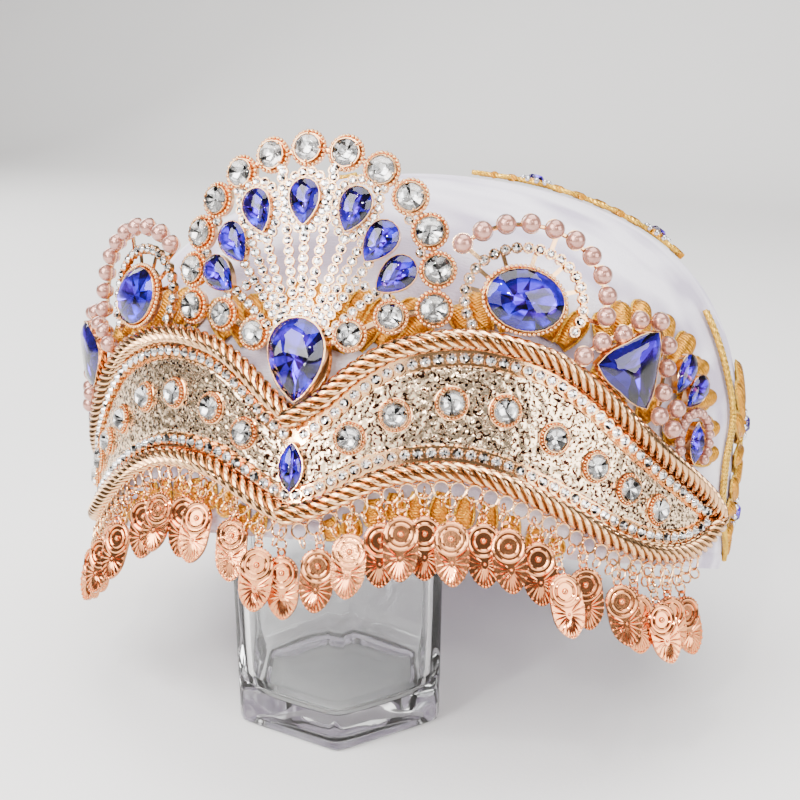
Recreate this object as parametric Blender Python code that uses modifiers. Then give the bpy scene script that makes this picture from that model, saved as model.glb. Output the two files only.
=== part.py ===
"""Dance crown on a glass jar stand.

A white velvet cap carries a jewelled front: two arched wings with rope borders, a stone fan
over their meeting point, a medallion at each side of it, pearl clusters and a fringe of drops.
The crown leans back on a six-sided glass jar. Sizes are in millimetres and become metres when
a mesh is finished. The crown is drawn upright in its own frame: Z up from the rim, front at -Y.
"""
import math

import bpy
import bmesh
from mathutils import Matrix, Vector

MM = 0.001
SHARP_ANGLE = 32

# How the crown stands: it leans back over the jar until its hem meets the table
LEAN_BACK = 24.6
LEAN_SIDE = 4.34
CROWN_X = 13.0
CROWN_Y = 30.4

# Cap: a dome whose plan is an oval, with a wall that swells a little above the rim
CAP_HALF_WIDTH = 98.7
CAP_HALF_DEPTH = 95.2
CAP_HEIGHT = 122.9
CAP_SQUARENESS = 3.38
CAP_SWELL = 0.144
CAP_SHIFT_BACK = 13.2
CAP_WALL = 2.2
CAP_AROUND = 32
CAP_LEVELS = 8

# Front band: the back face of the metalwork is a slightly flared oval cone round the cap
BAND_HALF_WIDTH = 99.7
BAND_HALF_DEPTH = 96.5
BAND_FLARE = 0.08
MM_PER_DEGREE = 1.85
SEAT_GAP = 0.3

# Wings: heights of the rope centre lines over the rim, by angle from the centre front
WING_EDGES = (
    # angle, upper, lower
    (0.0, 31.2, 6.0),
    (4.0, 36.6, 8.6),
    (8.0, 43.2, 12.3),
    (13.0, 49.4, 16.9),
    (19.0, 53.0, 19.6),
    (25.0, 54.4, 20.2),
    (31.0, 53.4, 18.2),
    (38.0, 50.2, 14.0),
    (45.0, 43.6, 9.2),
    (52.0, 35.8, 5.0),
    (59.0, 29.3, 3.2),
    (66.0, 24.4, 4.2),
    (72.0, 20.4, 7.6),
    (75.2, 17.6, 11.4),
)
WING_START = 0.09
WING_END = 75.2
WING_TIP = 77.2
WING_STATIONS = 18
PLATE_FRONT = 1.4
ROPE_RADIUS = 2.6
CHAIN_RADIUS = 1.1
CHAIN_INSET = 4.9
CHAIN_START = 2.2
CHAIN_END = 70.5
CHAIN_TIP = 72.2
CHAIN_RUNS = 9

WING_STONES = (
    # angle, height
    (8.4, 27.1),
    (14.7, 33.7),
    (22.6, 37.8),
    (30.4, 37.0),
    (38.2, 31.0),
    (45.4, 24.9),
    (51.9, 19.9),
    (58.6, 15.2),
)
WING_STONE_RADIUS = 4.6
WING_STONE_RIM = 0.72
WING_STONE_THICKNESS = 3.2

# Fan: its drawing is flat, x across and height up, and is wrapped round the band
FAN_CENTRE_HEIGHT = 67.5
FAN_HALF_WIDTH = 36.0
FAN_RISE = 35.0
FAN_STEP = 16.6
FAN_STONE_RADIUS = 4.9
FAN_STONE_THICKNESS = 3.9
CURL_STONE_RADIUS = 4.6
CURL_STONE_THICKNESS = 3.7
CUP_RIM = 0.7
CURL_STONES = ((24.4, 59.0), (13.8, 53.8))
FAN_BASE_HEIGHT = 47.0
FAN_LATTICE = 1.2
HUB_RADIUS = 11.5
HUB_HALF_ANGLE = 66
HUB_FOOT = 4.2
RAY_START = 6.0
RAY_WIDTH = 2.3
ARCH_BAR = 2.6
ARCH_END = (7.0, 51.0)
RAYS = (
    # turn from upright, length
    (0.0, 41.0),
    (8.6, 54.6),
    (19.4, 41.5),
    (27.0, 34.0),
    (34.9, 37.0),
    (48.0, 34.0),
)
FAN_PEARS = (
    # x, height, with a halo of small stones
    (0.0, 88.2, True),
    (13.4, 86.2, True),
    (20.4, 77.9, False),
    (25.0, 69.4, False),
)
PEAR_WIDTH = 8.6
PEAR_LENGTH = 12.4
PEAR_THICKNESS = 3.2
HALO = 1.34

# Centre stones: height over the rim, width, length, thickness
TEARDROP = (46.6, 15.8, 22.0, 5.4)
NAVETTE = (18.7, 7.4, 13.6, 3.4)

# Medallions: an oval stone, a ring of small stones and an arc of pearls
MEDALLION_ANGLE = 31.5
MEDALLION_HEIGHT = 65.6
OVAL_SIZE = (23.0, 18.0)
OVAL_THICKNESS = 4.4
OVAL_SEAT = (9.4, 7.2)
STONE_RING = (16.2, 13.4)
STONE_RING_WIDTH = 2.4
STONE_RING_END = 112
MEDALLION_BAR_INNER = (7.4, 5.6)
MEDALLION_BAR_WIDTH = 1.3
MEDALLION_BARS = (-98, -54, -18, 18, 54, 90)
PEARL_ARC = (22.6, 19.4)
PEARL_ARC_FROM = -49.4
PEARL_ARC_STEP = 16.1
PEARL_ARC_COUNT = 10
PEARL_RADIUS = 2.35
MEDALLION_BACK = 1.2
MEDALLION_FRONT = 2.4

# Side clusters: the three-cornered stone is given by angle, height, reach and thickness
TRILLION = (48.7, 51.5, 12.1, 4.6)
TRILLION_CORNER = 62.0
TRILLION_LEAN = 8.0
PEARL_CLUSTER = (
    # angle, height
    (40.7, 52.8),
    (43.3, 57.0),
    (46.6, 59.8),
    (49.2, 64.2),
    (52.9, 64.8),
    (54.9, 58.9),
    (55.2, 52.9),
    (55.0, 46.3),
    (54.8, 39.9),
    (58.2, 42.6),
    (57.8, 37.0),
)
SMALL_PEARL_RADIUS = 1.4
# Loop of small pearls: angle, height, reach along and up
SMALL_PEARL_LOOP = (64.3, 35.2, 7.2, 7.6)
SIDE_PEARS = (
    # angle, height, turn
    (59.9, 52.6, -27.0),
    (63.1, 48.3, -44.0),
)
SIDE_PEAR_SIZE = (6.2, 11.6)
SIDE_PEAR_THICKNESS = 3.4
# Boat-shaped side stone: angle, height, width, length, thickness
MARQUISE = (64.3, 34.5, 6.4, 12.0, 3.6)
SIDE_STONE_DEPTH = 2.4

# Embroidery: padded gold work that stands on the cap
HEM_PAD = 1.3
FAN_PETALS = (
    # angle, height of the petal tips, front face from the band's back face
    (0.0, 67.0, -0.3),
    (9.0, 67.0, -0.3),
    (15.0, 64.5, -0.3),
    (20.0, 62.5, -0.3),
    (22.6, 60.0, -0.3),
)
SIDE_PETALS = (
    # angle, height of the petal tips, front face from the band's back face
    (24.0, 61.0, 0.9),
    (31.0, 64.0, 0.9),
    (37.0, 67.0, 0.9),
    (43.0, 63.0, 0.9),
    (48.6, 69.7, 2.1),
    (53.0, 71.0, 2.1),
    (59.0, 68.8, 2.1),
    (64.5, 64.0, 2.1),
    (68.7, 56.4, 2.1),
    (71.3, 48.0, 2.1),
    (74.0, 36.0, 2.1),
)
PETAL_STEP = 4.2
PETAL_NOTCH = 4.0
HEM_WORK = (
    # angle, low edge, high edge
    (4.0, 1.0, 5.0),
    (8.0, 1.2, 7.6),
    (12.0, 3.6, 10.8),
    (16.0, 6.4, 13.2),
    (22.0, 6.2, 13.0),
    (28.0, 5.0, 11.8),
    (34.0, 1.6, 8.0),
    (40.0, 1.2, 6.2),
    (44.0, 1.0, 4.0),
)

# Side motifs: two curved cords rise from a stem with two stones
SIDE_MOTIF_ANGLE = 97.0
SIDE_MOTIF_CORD = (
    # height, angle from the motif's middle
    (4.0, 0.8),
    (14.0, 13.0),
    (30.0, 16.6),
    (46.0, 14.4),
    (57.0, 17.4),
    (76.0, 22.5),
)
SIDE_MOTIF_STEM = (2.5, 18.0, 34.0, 50.0)
SIDE_MOTIF_STONES = (46.0, 18.0)
TOP_MOTIF = (
    # row, angle, level over the rim in degrees
    (0.0, 30.0, 74.0),
    (1.0, 44.0, 71.3),
    (2.0, 57.0, 68.4),
    (3.0, 69.0, 63.8),
    (4.0, 78.0, 58.8),
    (5.0, 86.0, 51.0),
)
TOP_MOTIF_STONES = (1.55, 4.35)
MOTIF_STEPS = 8
CORD_WIDTH = 3.4
CORD_HEIGHT = 1.5
MOTIF_STONE_RADIUS = 4.2
MOTIF_STONE_THICKNESS = 3.6

# Fringe: drops that hang from the lower ropes, the wearer's left and right wings
FRINGE_LEFT_WING = (
    # angle of the boss, drop under the rope's centre line
    (4.7, 15.5),
    (9.5, 15.8),
    (13.8, 15.9),
    (16.8, 15.6),
    (20.1, 15.8),
    (24.0, 17.2),
    (28.8, 15.8),
    (32.3, 15.3),
    (37.3, 14.8),
    (41.3, 20.0),
    (45.8, 14.8),
    (52.2, 14.9),
    (56.4, 15.7),
    (60.4, 17.7),
    (64.3, 16.1),
    (67.7, 17.3),
)
FRINGE_RIGHT_WING = (
    (0.9, 15.4),
    (4.5, 16.4),
    (9.6, 14.0),
    (15.8, 14.8),
    (19.5, 14.8),
    (24.2, 14.8),
    (30.0, 15.4),
    (36.0, 19.0),
    (40.5, 16.0),
    (45.0, 18.0),
    (49.8, 15.2),
    (54.4, 16.4),
    (59.0, 15.4),
    (63.4, 17.0),
    (67.7, 16.0),
)
FRINGE_START = 1.6
FRINGE_END = 70.0
FRINGE_RUNS = 14
FRINGE_HEAD = 3.0
FRINGE_BACK = 1.2
FRINGE_FRONT = 2.8
DROP_BACK = 1.5
SHANK_HALF_WIDTH = 0.8
BOSS_RADIUS = 4.2
LEAF_LENGTH = 12.4
DROP_THICKNESS = 1.1
DROP_SWING = -9.0

# Jar: a six-sided body, one corner to the front, with a round neck under the cap
JAR_TURN = -70.6
JAR_RINGS = (
    # height, radius at a corner, roundness
    (0.0, 34.6, 0.0),
    (1.2, 35.6, 0.0),
    (106.0, 36.8, 0.0),
    (115.0, 30.0, 0.5),
    (119.0, 20.5, 1.0),
    (138.6, 20.0, 1.0),
    (138.6, 17.6, 1.0),
    (118.0, 17.8, 1.0),
    (112.5, 27.0, 0.5),
    (104.0, 32.4, 0.0),
    (12.0, 30.0, 0.0),
    (7.5, 27.2, 0.0),
)
JAR_SIDES = 12


def clear_scene():
    """Remove whatever the file holds."""
    for obj in list(bpy.data.objects):
        bpy.data.objects.remove(obj, do_unlink=True)


def make_material(name, colour, roughness, metallic=0.0, alpha=1.0):
    """A Principled material."""
    material = bpy.data.materials.new(name)
    material.use_nodes = True
    shader = material.node_tree.nodes["Principled BSDF"]
    shader.inputs["Base Color"].default_value = (*colour, 1.0)
    shader.inputs["Roughness"].default_value = roughness
    shader.inputs["Metallic"].default_value = metallic
    shader.inputs["Alpha"].default_value = alpha
    material.diffuse_color = (*colour, alpha)
    return material


def smooth_row(table, at, column):
    """Value of a table's column at a place between its rows, on a smooth curve."""
    last = len(table) - 1
    row = max(i for i in range(last) if table[i][0] <= at or i == 0)
    here, there = table[row], table[row + 1]
    span = there[0] - here[0]
    before = table[max(row - 1, 0)]
    after = table[min(row + 2, last)]
    slope_in = (there[column] - before[column]) / (there[0] - before[0])
    slope_out = (after[column] - here[column]) / (after[0] - here[0])
    t = (at - here[0]) / span
    rise = there[column] - here[column]
    bend = slope_in * span * (t ** 3 - 2 * t ** 2 + t) + slope_out * span * (t ** 3 - t ** 2)
    return here[column] + rise * (3 * t ** 2 - 2 * t ** 3) + bend


def band_point(angle, height, depth):
    """Point of the front at an angle, a height and a distance out from the band's back face."""
    turn = math.radians(angle)
    out = BAND_FLARE * height + depth
    return Vector((
        (BAND_HALF_WIDTH + out) * math.sin(turn),
        -(BAND_HALF_DEPTH + out) * math.cos(turn),
        height,
    ))


def cap_scale(share):
    """How wide the cap is at a share of its height, against its rim."""
    return math.sqrt(max(0.0, 1 - share ** CAP_SQUARENESS)) * (1 + CAP_SWELL * share)


def cap_point(angle, height, depth):
    """Point of the cap's outside at an angle and height, moved out from it by a depth."""
    turn = math.radians(angle)
    share = min(1.0, height / CAP_HEIGHT)
    scale = cap_scale(share)
    return Vector((
        (CAP_HALF_WIDTH * scale + depth) * math.sin(turn),
        -(CAP_HALF_DEPTH * scale + depth) * math.cos(turn) + CAP_SHIFT_BACK * share ** 2,
        height,
    ))


def dome_point(angle, level, depth):
    """Point of the cap by angle and by level, 0 at the rim and 90 at the crown."""
    share = math.sin(math.radians(level))
    near = cap_point(angle, CAP_HEIGHT * share, 0.0)
    if depth == 0.0:
        return near
    along = cap_point(angle + 1.0, CAP_HEIGHT * share, 0.0) - near
    up = cap_point(angle, CAP_HEIGHT * math.sin(math.radians(level + 1.0)), 0.0) - near
    return near + along.cross(up).normalized() * depth


def surface_frame(surface, angle, height, depth, turn=0.0, lean=0.0):
    """Frame on a surface: X along it, Y up it and Z out of it, then turned and leant."""
    step = 0.5
    along = surface(angle + step, height, depth) - surface(angle - step, height, depth)
    up = surface(angle, height + step, depth) - surface(angle, height - step, depth)
    out = along.cross(up).normalized()
    along.normalize()
    up = out.cross(along)
    frame = Matrix((along, up, out)).transposed().to_4x4()
    frame.translation = surface(angle, height, depth)
    spin = Matrix.Rotation(math.radians(turn), 4, "Z")
    tip = Matrix.Rotation(math.radians(lean), 4, "X")
    return frame @ tip @ spin


def on_drawing(x, height, depth):
    """Point of the flat front drawing, wrapped round the band."""
    return band_point(x / MM_PER_DEGREE, height, depth)


def round_outline(radius, sides):
    """Regular outline."""
    return oval_outline(2 * radius, 2 * radius, sides)


def oval_outline(width, length, sides):
    """Oval outline, counter-clockwise."""
    steps = [math.tau * (i + 0.5) / sides for i in range(sides)]
    return [(width / 2 * math.cos(t), length / 2 * math.sin(t)) for t in steps]


def pear_outline(width, length, sides):
    """Teardrop outline with its point at the bottom."""
    steps = [math.tau * i / sides for i in range(sides)]
    bulge = [math.sin(t) * math.sin(t / 2) ** 0.75 for t in steps]
    widest = max(bulge)
    return [(width / 2 * b / widest, -length / 2 * math.cos(t)) for b, t in zip(bulge, steps)]


def navette_outline(width, length, sides):
    """Boat outline, pointed at both ends."""
    steps = [math.tau * i / sides for i in range(sides)]
    return [(width / 2 * math.sin(t) * abs(math.sin(t)) ** 0.7, -length / 2 * math.cos(t)) for t in steps]


def trillion_outline(reach):
    """Triangle with cut corners and bowed sides, its first corner on +X."""
    outline = []
    for corner in range(3):
        turn = math.radians(120 * corner)
        for offset, radius in ((-9.0, 0.95), (9.0, 0.95), (60.0, 0.60)):
            at = turn + math.radians(offset)
            outline.append((reach * radius * math.cos(at), reach * radius * math.sin(at)))
    return outline


def drop_outline():
    """Boss with a leaf under it and a shank over it, its first point at the leaf's tip."""
    right = [
        (1.2, -LEAF_LENGTH + 0.4),
        (3.9, -LEAF_LENGTH * 0.5),
        (BOSS_RADIUS, -0.8),
        (BOSS_RADIUS * 0.8, BOSS_RADIUS * 0.66),
        (SHANK_HALF_WIDTH, BOSS_RADIUS),
    ]
    left = [(-x, y) for x, y in reversed(right)]
    return right, left


def gem(outline, levels):
    """Closed stone on a flat base: each level gives a scale of the outline and a height."""
    sides = len(outline)
    bm = bmesh.new()
    bmesh.ops.create_cone(bm, cap_ends=True, segments=sides, radius1=1, radius2=1, depth=1)
    for vert in bm.verts:
        turn = math.atan2(vert.co.y, vert.co.x) - math.pi / 2
        x, y = outline[round(turn / math.tau * sides) % sides]
        scale, height = levels[0] if vert.co.z < 0 else levels[1]
        vert.co = (x * scale, y * scale, height)
    last_scale = levels[1][0]
    for scale, height in levels[2:]:
        top = max(bm.faces, key=lambda face: face.calc_center_median().z)
        made = bmesh.ops.extrude_face_region(bm, geom=[top])["geom"]
        bmesh.ops.delete(bm, geom=[top], context="FACES_ONLY")
        for vert in (item for item in made if isinstance(item, bmesh.types.BMVert)):
            vert.co = (vert.co.x * scale / last_scale, vert.co.y * scale / last_scale, height)
        last_scale = scale
    return bm


def set_stone(outline, rim, height):
    """Stone in a cup: the cup's wall and rim, then the stone's facets and table."""
    levels = ((0.94, 0.0), (1.0, height * 0.55), (rim, height * 0.66), (rim * 0.56, height))
    return gem(outline, levels)


def bare_stone(outline, height):
    """Stone with facets from its girdle to its table."""
    levels = ((0.92, 0.0), (1.0, height * 0.38), (0.55, height))
    return gem(outline, levels)


def loft(rings):
    """Closed solid through rings of points, with a flat cap at each end."""
    bm = bmesh.new()
    rows = [[bm.verts.new(point) for point in ring] for ring in rings]
    for low, high in zip(rows, rows[1:]):
        for i, corner in enumerate(low):
            j = (i + 1) % len(low)
            bm.faces.new((corner, low[j], high[j], high[i]))
    bm.faces.new(rows[0])
    bm.faces.new(rows[-1])
    bmesh.ops.recalc_face_normals(bm, faces=bm.faces)
    return bm


def strap(path, width, back, front, surface=on_drawing):
    """Flat bar along a path of (across, up) points, wrapped on a surface."""
    rings = []
    for i, (x, y) in enumerate(path):
        x0, y0 = path[max(i - 1, 0)]
        x1, y1 = path[min(i + 1, len(path) - 1)]
        length = math.hypot(x1 - x0, y1 - y0)
        side_x, side_y = (y0 - y1) / length * width / 2, (x1 - x0) / length * width / 2
        left, right = (x - side_x, y - side_y), (x + side_x, y + side_y)
        rings.append([
            surface(*left, back),
            surface(*right, back),
            surface(*right, front),
            surface(*left, front),
        ])
    return loft(rings)


def plate(outline, back, front):
    """Flat outline of the front drawing, wrapped round the band."""
    return loft([[on_drawing(x, y, depth) for x, y in outline] for depth in (back, front)])


def apron(rows):
    """Padded work on the cap, from rows of angle, low edge, high edge and front depth."""
    rings = []
    for angle, low, high, front in rows:
        middle = (low + high) / 2
        rings.append([
            cap_point(angle, low, SEAT_GAP),
            cap_point(angle, middle, SEAT_GAP + 0.45),
            cap_point(angle, high, SEAT_GAP),
            band_point(angle, high, front - 1.0),
            band_point(angle, high - 1.2, front),
            band_point(angle, low, front),
        ])
    return loft(rings)


def hem_strip(rows):
    """Thin work on the cap under the ropes, from rows of angle, low edge and high edge."""
    rings = []
    for angle, low, high in rows:
        rings.append([
            cap_point(angle, low, SEAT_GAP),
            cap_point(angle, high, SEAT_GAP),
            cap_point(angle, high - 0.6, HEM_PAD),
            cap_point(angle, low + 0.6, HEM_PAD),
        ])
    return loft(rings)


def tube(spots, radii, resolution):
    """Round bar through points, as a closed mesh; each point has its own radius."""
    curve = bpy.data.curves.new("tube", "CURVE")
    curve.dimensions = "3D"
    curve.bevel_depth = 1.0
    curve.bevel_resolution = resolution
    curve.use_fill_caps = True
    line = curve.splines.new("POLY")
    line.points.add(len(spots) - 1)
    for point, spot, radius in zip(line.points, spots, radii):
        point.co = (*spot, 1.0)
        point.radius = radius
    guide = bpy.data.objects.new("tube", curve)
    bpy.context.scene.collection.objects.link(guide)
    bpy.context.view_layer.update()
    evaluated = guide.evaluated_get(bpy.context.evaluated_depsgraph_get())
    mesh = bpy.data.meshes.new_from_object(evaluated)
    bm = bmesh.new()
    bm.from_mesh(mesh)
    bmesh.ops.remove_doubles(bm, verts=bm.verts, dist=0.0001)
    bmesh.ops.recalc_face_normals(bm, faces=bm.faces)
    bpy.data.meshes.remove(mesh)
    bpy.data.objects.remove(guide)
    bpy.data.curves.remove(curve)
    return bm


def bead_string(beads):
    """String of beads from (centre, radius) pairs: two points shape a bead, one the neck between."""
    spots, radii = [], []
    for i, (centre, radius) in enumerate(beads):
        before = beads[max(i - 1, 0)][0]
        after = beads[min(i + 1, len(beads) - 1)][0]
        along = (after - before).normalized() * radius * 0.5
        if i:
            spots.append((before + centre) / 2)
            radii.append(radius * 0.3)
        spots += [centre - along, centre + along]
        radii += [radius * 0.97, radius * 0.97]
    first_centre, first_radius = beads[0]
    last_centre, last_radius = beads[-1]
    spots = [first_centre + (spots[0] - first_centre) * 2] + spots
    spots.append(last_centre + (spots[-1] - last_centre) * 2)
    radii = [first_radius * 0.3] + radii + [last_radius * 0.3]
    return tube(spots, radii, 3)


def solid_object(bm):
    """Loose object that holds a closed shape, in triangles."""
    bmesh.ops.triangulate(bm, faces=bm.faces)
    mesh = bpy.data.meshes.new("solid")
    bm.to_mesh(mesh)
    bm.free()
    obj = bpy.data.objects.new("solid", mesh)
    bpy.context.scene.collection.objects.link(obj)
    return obj


def fuse(shapes):
    """One closed shape from shapes that overlap, soldered one after another."""
    body = solid_object(shapes[0])
    for shape in shapes[1:]:
        tool = solid_object(shape)
        join = body.modifiers.new("join", "BOOLEAN")
        join.operation = "UNION"
        join.solver = "EXACT"
        join.object = tool
        bpy.context.view_layer.update()
        evaluated = body.evaluated_get(bpy.context.evaluated_depsgraph_get())
        joined = bpy.data.meshes.new_from_object(evaluated)
        body.modifiers.clear()
        body.data = joined
        bpy.data.objects.remove(tool)
    bm = bmesh.new()
    bm.from_mesh(body.data)
    bmesh.ops.remove_doubles(bm, verts=bm.verts, dist=0.001)
    bmesh.ops.dissolve_limit(bm, angle_limit=math.radians(0.5), verts=bm.verts, edges=bm.edges)
    bmesh.ops.triangulate(bm, faces=bm.faces)
    bpy.data.objects.remove(body)
    return bm


def moved(bm, frame):
    """A shape carried into a frame."""
    bmesh.ops.transform(bm, matrix=frame, verts=bm.verts)
    return bm


def mirrored(bm):
    """The same shape for the other side of the crown."""
    bmesh.ops.scale(bm, vec=(-1, 1, 1), verts=bm.verts)
    bmesh.ops.reverse_faces(bm, faces=bm.faces)
    return bm


def add_piece(name, bm, material, frame=None, flip=False):
    """Finish a piece in metres, parent it to the crown and set it in its frame."""
    if flip:
        bm = mirrored(bm)
    bmesh.ops.scale(bm, vec=(MM, MM, MM), verts=bm.verts)
    mesh = bpy.data.meshes.new(name)
    bm.to_mesh(mesh)
    bm.free()
    mesh.materials.append(material)
    mesh.shade_smooth()
    mesh.set_sharp_from_angle(angle=math.radians(SHARP_ANGLE))
    obj = bpy.data.objects.new(name, mesh)
    PARTS.objects.link(obj)
    obj.parent = CROWN
    if frame is not None:
        if flip:
            swap = Matrix.Diagonal((-1, 1, 1, 1))
            frame = swap @ frame @ swap
        frame = frame.copy()
        frame.translation *= MM
        obj.matrix_basis = frame
    return obj


def both_sides(name, build, material, frame=None):
    """A piece for the wearer's left and its mirror image for the right."""
    for side, flip in (("left", False), ("right", True)):
        add_piece(f"{name}_{side}", build(), material, frame, flip)


def build_cap():
    """Cap: the upper half of a sphere, shaped by the cap's section and given its cloth wall."""
    bm = bmesh.new()
    bmesh.ops.create_uvsphere(bm, u_segments=CAP_AROUND, v_segments=2 * CAP_LEVELS, radius=1)
    below = [vert for vert in bm.verts if vert.co.z < -0.001]
    bmesh.ops.delete(bm, geom=below, context="VERTS")
    for vert in bm.verts:
        level = math.degrees(math.asin(min(1.0, max(0.0, vert.co.z))))
        angle = math.degrees(math.atan2(vert.co.x, -vert.co.y))
        vert.co = dome_point(angle, level, 0.0)
    bmesh.ops.recalc_face_normals(bm, faces=bm.faces)
    cap = add_piece("cap", bm, VELVET)
    wall = cap.modifiers.new("cloth_wall", "SOLIDIFY")
    wall.thickness = CAP_WALL * MM
    wall.offset = -1.0
    return cap


def rope_slant(angle, column):
    """How much taller than round a rope's section is where the rope climbs."""
    step = 0.5
    low = smooth_row(WING_EDGES, max(angle - step, 0.0), column)
    high = smooth_row(WING_EDGES, min(angle + step, WING_END), column)
    rise = (high - low) / (2 * step * MM_PER_DEGREE)
    return math.sqrt(1 + rise ** 2)


def wing_section(angle, shrink=1.0):
    """Section of a wing: lower rope, plate, upper rope and flat back, as (height, depth)."""
    upper = smooth_row(WING_EDGES, min(angle, WING_END), 1)
    lower = smooth_row(WING_EDGES, min(angle, WING_END), 2)
    low_r = ROPE_RADIUS * rope_slant(angle, 2)
    high_r = ROPE_RADIUS * rope_slant(angle, 1)
    crest = 2 * ROPE_RADIUS
    shoulder = ROPE_RADIUS * 1.7
    points = [
        (lower - low_r, 0.0),
        (lower - low_r, ROPE_RADIUS),
        (lower - low_r * 0.7, shoulder),
        (lower, crest),
        (lower + low_r * 0.7, shoulder),
        (lower + low_r, PLATE_FRONT),
        (upper - high_r, PLATE_FRONT),
        (upper - high_r * 0.7, shoulder),
        (upper, crest),
        (upper + high_r * 0.7, shoulder),
        (upper + high_r, ROPE_RADIUS),
        (upper + high_r, 0.0),
    ]
    middle = (upper + lower) / 2
    return [(middle + (height - middle) * shrink, depth * shrink) for height, depth in points]


def build_wing():
    """Wing: hammered plate and twisted rope borders, cast in one."""
    rings = []
    for i in range(WING_STATIONS):
        angle = WING_START + (WING_END - WING_START) * i / (WING_STATIONS - 1)
        rings.append([band_point(angle, z, depth) for z, depth in wing_section(angle)])
    rings.append([band_point(WING_TIP, z, depth + 0.6) for z, depth in wing_section(WING_TIP, 0.5)])
    return loft(rings)


def build_chain():
    """Line of small set stones inside a wing's ropes, out along the top and back below."""
    depth = PLATE_FRONT + SEAT_GAP + CHAIN_RADIUS
    spots = []
    angles = [CHAIN_START + (CHAIN_END - CHAIN_START) * i / (CHAIN_RUNS - 1) for i in range(CHAIN_RUNS)]
    for angle in angles:
        inset = CHAIN_INSET * rope_slant(angle, 1)
        spots.append((angle, smooth_row(WING_EDGES, angle, 1) - inset))
    tip = (smooth_row(WING_EDGES, CHAIN_TIP, 1) + smooth_row(WING_EDGES, CHAIN_TIP, 2)) / 2
    spots.append((CHAIN_TIP, tip))
    for angle in reversed(angles):
        inset = CHAIN_INSET * rope_slant(angle, 2)
        spots.append((angle, smooth_row(WING_EDGES, angle, 2) + inset))
    points = [band_point(angle, height, depth) for angle, height in spots]
    return tube(points, [CHAIN_RADIUS] * len(points), 2)


def build_wings():
    """Both wings with their chains and stones, and the boat-shaped stone between them."""
    both_sides("wing", build_wing, ROSE_GOLD)
    both_sides("wing_chain", build_chain, CRYSTAL)
    base = PLATE_FRONT + SEAT_GAP
    for number, (angle, height) in enumerate(WING_STONES, 1):
        frame = surface_frame(band_point, angle, height, base)
        for side, flip in (("left", False), ("right", True)):
            outline = round_outline(WING_STONE_RADIUS, 8)
            stone = set_stone(outline, WING_STONE_RIM, WING_STONE_THICKNESS)
            add_piece(f"wing_stone_{side}_{number}", stone, CRYSTAL, frame, flip)
    height, width, length, thickness = NAVETTE
    frame = surface_frame(band_point, 0.0, height, base)
    stone = bare_stone(navette_outline(width, length, 10), thickness)
    add_piece("navette_stone", stone, BLUE_GLASS, frame)


def fan_spot(number):
    """Place of an arch stone on the flat drawing, counted from the top one."""
    turn = math.radians(FAN_STEP * number)
    return FAN_HALF_WIDTH * math.sin(turn), FAN_CENTRE_HEIGHT + FAN_RISE * math.cos(turn)


def ray_path(turn, length):
    """Ray of the fan from its hub outward, as points of the flat drawing."""
    lean = math.radians(turn)
    reaches = (RAY_START, (RAY_START + length) / 2, length)
    return [(r * math.sin(lean), FAN_BASE_HEIGHT + r * math.cos(lean)) for r in reaches]


def pear_spots():
    """Fan pears as (x, height, turn, halo), from the wearer's right to the left."""
    spots = []
    for x, height, halo in FAN_PEARS:
        turn = math.degrees(math.atan2(x, height - FAN_BASE_HEIGHT))
        spots.append((x, height, turn, halo))
        if x:
            spots.append((-x, height, -turn, halo))
    return sorted(spots)


def turned(outline, x, y, turn):
    """Outline turned clockwise and moved on the flat drawing."""
    c, s = math.cos(math.radians(turn)), math.sin(math.radians(turn))
    return [(x + px * c + py * s, y - px * s + py * c) for px, py in outline]


def build_fan():
    """Fan: arch of set stones, hub, rays and halo plates soldered into one open lattice."""
    arch = [fan_spot(number) for number in range(-6, 7)]
    curl = [(side * x, height) for side in (-1, 1) for x, height in CURL_STONES]
    end_x, end_height = ARCH_END
    path = [(-end_x, end_height), curl[1], curl[0]] + arch + [curl[2], curl[3], (end_x, end_height)]
    turns = [math.radians(a) for a in range(-HUB_HALF_ANGLE, HUB_HALF_ANGLE + 1, 22)]
    hub = [(HUB_RADIUS * math.sin(t), FAN_BASE_HEIGHT + HUB_RADIUS * math.cos(t)) for t in turns]
    hub += [(HUB_FOOT, FAN_BASE_HEIGHT - HUB_FOOT), (-HUB_FOOT, FAN_BASE_HEIGHT - HUB_FOOT)]
    shapes = [strap(path, ARCH_BAR, 0.1, FAN_LATTICE - 0.1), plate(hub, 0.04, FAN_LATTICE + 0.03)]
    for number, (turn, length) in enumerate(RAYS):
        for side in (1, -1) if turn else (1,):
            step = 0.02 * number + 0.01 * side
            shapes.append(strap(ray_path(side * turn, length), RAY_WIDTH, step, FAN_LATTICE - step))
    for x, height, turn, halo in pear_spots():
        if halo:
            outline = pear_outline(PEAR_WIDTH * HALO, PEAR_LENGTH * HALO, 12)
            shapes.append(plate(turned(outline, x, height, turn), 0.06, FAN_LATTICE + 0.05))
    stones = [(spot, FAN_STONE_RADIUS, FAN_STONE_THICKNESS) for spot in arch]
    stones += [(spot, CURL_STONE_RADIUS, CURL_STONE_THICKNESS) for spot in curl]
    for (x, height), radius, thickness in stones:
        frame = surface_frame(band_point, x / MM_PER_DEGREE, height, -0.1)
        shapes.append(moved(set_stone(round_outline(radius, 8), CUP_RIM, thickness), frame))
    add_piece("fan_frame", fuse(shapes), ROSE_GOLD)


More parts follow.
